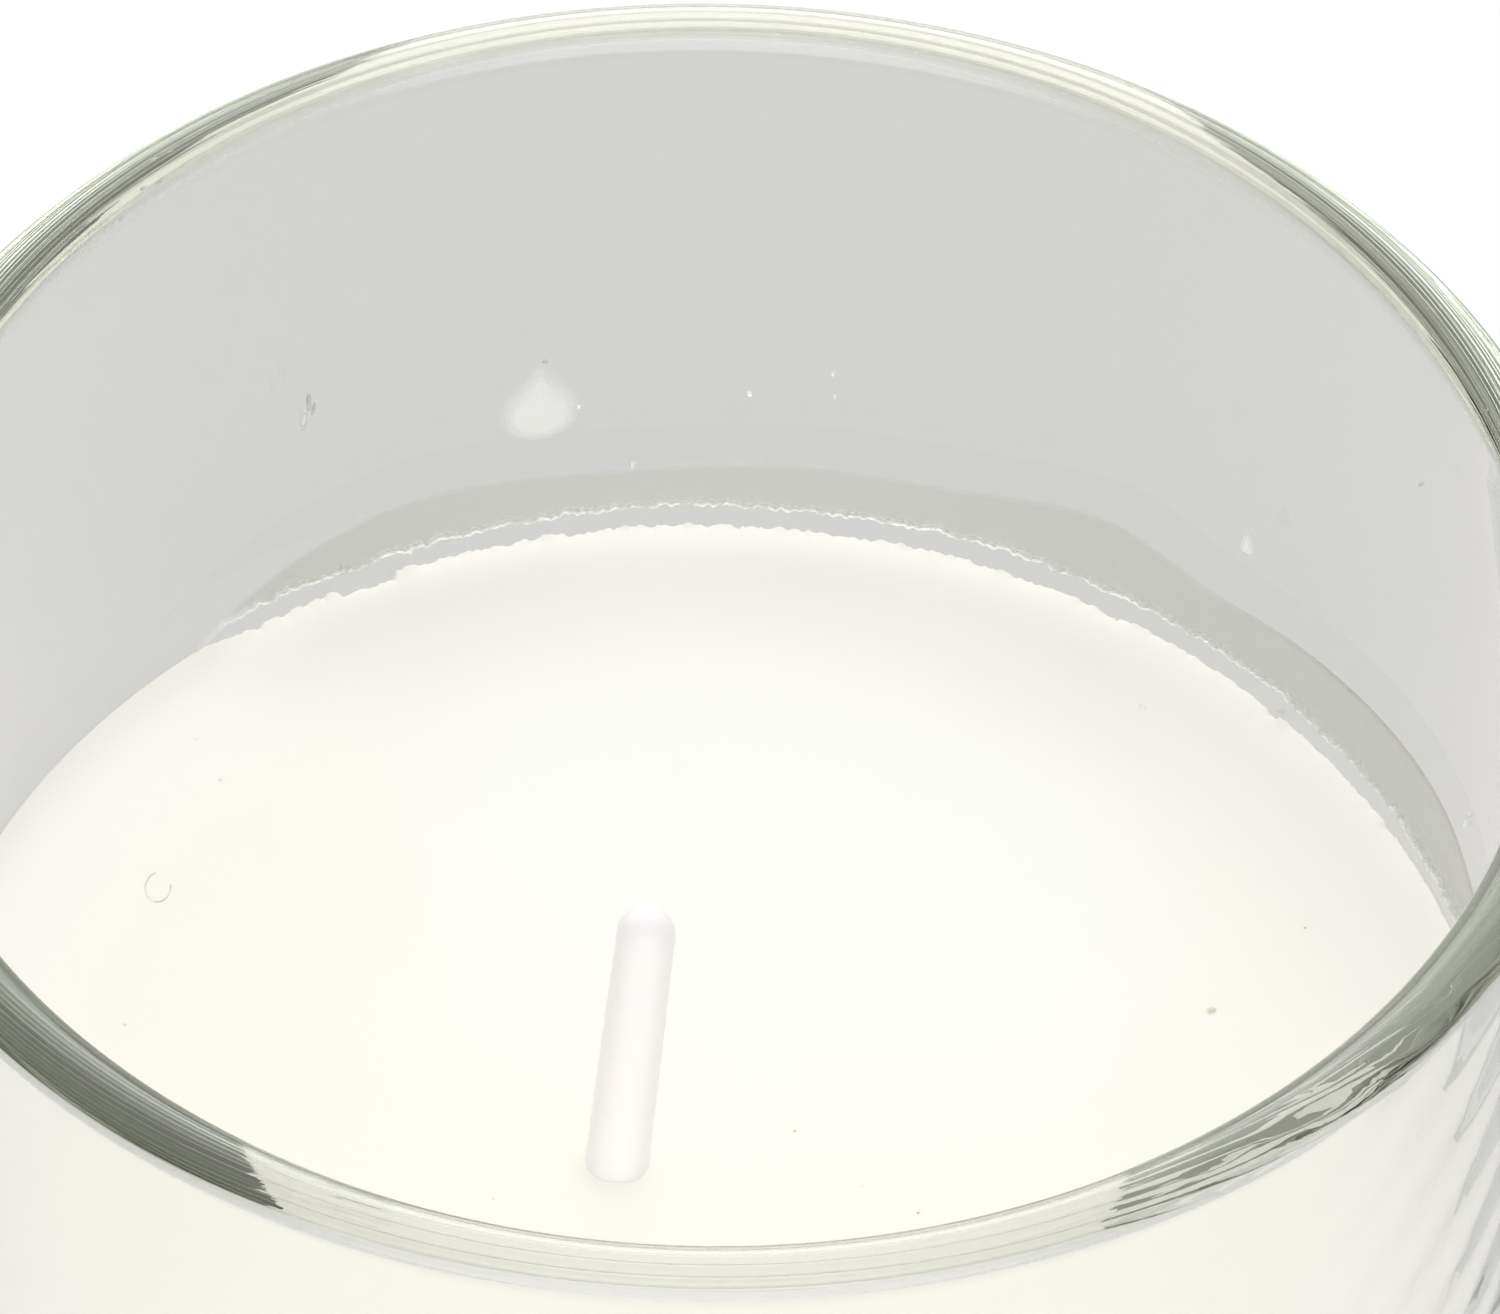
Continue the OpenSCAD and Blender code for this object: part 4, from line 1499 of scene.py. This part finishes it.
def studio_sky(world, sizes):
    """A white studio: brightest overhead, greyer at eye level, plain white where the camera sees it."""
    world.use_nodes = True
    tree = world.node_tree
    tree.nodes.clear()
    graph = Graph(tree)
    direction = graph.add("ShaderNodeTexCoord").outputs["Generated"]
    parts = graph.node("ShaderNodeSeparateXYZ", {"Vector": direction}).outputs
    height = graph.map_range(parts["Z"], *OVERHEAD, sizes.sky_side, sizes.sky_top, smooth=True)
    front = graph.map_range(parts["Y"], *TO_FRONT, 0.0, sizes.sky_front - sizes.sky_side, smooth=True)
    behind = graph.map_range(parts["Y"], *TO_BACK, smooth=True)
    low_enough = graph.map_range(parts["Z"], *BACK_TOP, smooth=True)
    high_enough = graph.map_range(parts["Z"], *BACK_FOOT, smooth=True)
    lit_band = graph.maths("MULTIPLY", low_enough, high_enough)
    back = graph.maths("MULTIPLY", graph.maths("MULTIPLY", behind, lit_band), sizes.sky_back)
    from_box = graph.node("ShaderNodeVectorMath", {0: direction, 1: SOFT_BOX}, operation="DOT_PRODUCT")
    box = graph.map_range(from_box.outputs["Value"], BOX_EDGE, BOX_FULL, 0.0, sizes.box_level, smooth=True)
    level = graph.maths("ADD", graph.maths("ADD", graph.maths("ADD", height, front), back), box)
    direct, _ = seen_directly(graph)
    shown, plain = MIX_VALUES
    strength = graph.node("ShaderNodeMix", {
        "Factor": direct, shown: level, plain: 1.0}, data_type="FLOAT")
    sky = graph.node("ShaderNodeBackground", {
        "Color": (1.0, 1.0, 1.0, 1.0), "Strength": strength.outputs[0]})
    output = graph.add("ShaderNodeOutputWorld")
    graph.join(sky.outputs[0], output.inputs["Surface"])


def soft_lamp(sizes):
    """The soft lamp overhead, which the camera doesn't see."""
    key = bpy.data.lights.new("overhead_softbox", "AREA")
    key.shape = "DISK"
    key.size = LAMP_WIDTH
    key.energy = sizes.key_power
    lamp = linked("overhead_softbox", key)
    lamp.location = LAMP_PLACE
    lamp.rotation_euler = (LAMP_TILT, 0, 0)
    lamp.visible_camera = False


def studio_camera(sizes):
    """The camera, placed as the photo's was."""
    lens = bpy.data.cameras.new("studio_camera")
    lens.lens = sizes.lens
    lens.sensor_width = SENSOR_WIDTH
    lens.clip_start = 0.01
    lens.clip_end = 20.0
    camera = linked("studio_camera", lens)
    turn = Matrix.Rotation(CAMERA_TILT, 4, "X") @ Matrix.Rotation(CAMERA_ROLL, 4, "Z")
    camera.matrix_world = Matrix.Translation(CAMERA_PLACE) @ turn
    return camera


class CANDLE_OT_stage(bpy.types.Operator):
    """Set the floor, the studio light and the camera"""
    bl_idname = "candle.stage"
    bl_label = "Stage"

    def execute(self, context):
        scene = context.scene
        sizes = scene.candle_stage
        half = sizes.floor_side / 2
        corners = [(x * half, y * half, -FLOOR_GAP) for x, y in ((-1, -1), (1, -1), (1, 1), (-1, 1))]
        floor = linked("studio_floor", mesh_of("studio_floor", corners, [(0, 1, 2, 3)]))
        floor.data.materials.append(floor_finish(sizes))
        scene.world = bpy.data.worlds.new("Studio")
        studio_sky(scene.world, sizes)
        soft_lamp(sizes)
        scene.camera = studio_camera(sizes)
        scene.view_settings.view_transform = "Standard"
        scene.cycles.max_bounces = 44
        scene.cycles.glossy_bounces = 40
        scene.cycles.transmission_bounces = 40
        return {"FINISHED"}


class CANDLE_PT_panel(bpy.types.Panel):
    """Buttons that build the candle piece by piece"""
    bl_idname = "CANDLE_PT_panel"
    bl_label = "Poured candle"
    bl_space_type = "VIEW_3D"
    bl_region_type = "UI"
    bl_category = "Candle"

    def draw(self, context):
        for group in SIZE_GROUPS:
            box = self.layout.box()
            sizes = getattr(context.scene, group)
            for name in sizes.__annotations__:
                box.prop(sizes, name)
        for step in STEPS:
            self.layout.operator(step.bl_idname)


STEPS = (
    CANDLE_OT_jar,
    CANDLE_OT_wax,
    CANDLE_OT_wick,
    CANDLE_OT_tab,
    CANDLE_OT_film,
    CANDLE_OT_crumbs,
    CANDLE_OT_stage,
)


def register():
    for kind in (*SIZE_GROUPS.values(), *STEPS, CANDLE_PT_panel):
        bpy.utils.register_class(kind)
    for name, kind in SIZE_GROUPS.items():
        setattr(bpy.types.Scene, name, PointerProperty(type=kind))


def unregister():
    for name in SIZE_GROUPS:
        delattr(bpy.types.Scene, name)
    for kind in reversed((*SIZE_GROUPS.values(), *STEPS, CANDLE_PT_panel)):
        bpy.utils.unregister_class(kind)


def main():
    """Build the candle piece by piece."""
    register()
    mottle_group()
    bpy.ops.candle.jar()
    bpy.ops.candle.wax()
    bpy.ops.candle.wick()
    bpy.ops.candle.tab()
    bpy.ops.candle.film()
    bpy.ops.candle.crumbs()
    bpy.ops.candle.stage()


if __name__ == "__main__":
    main()
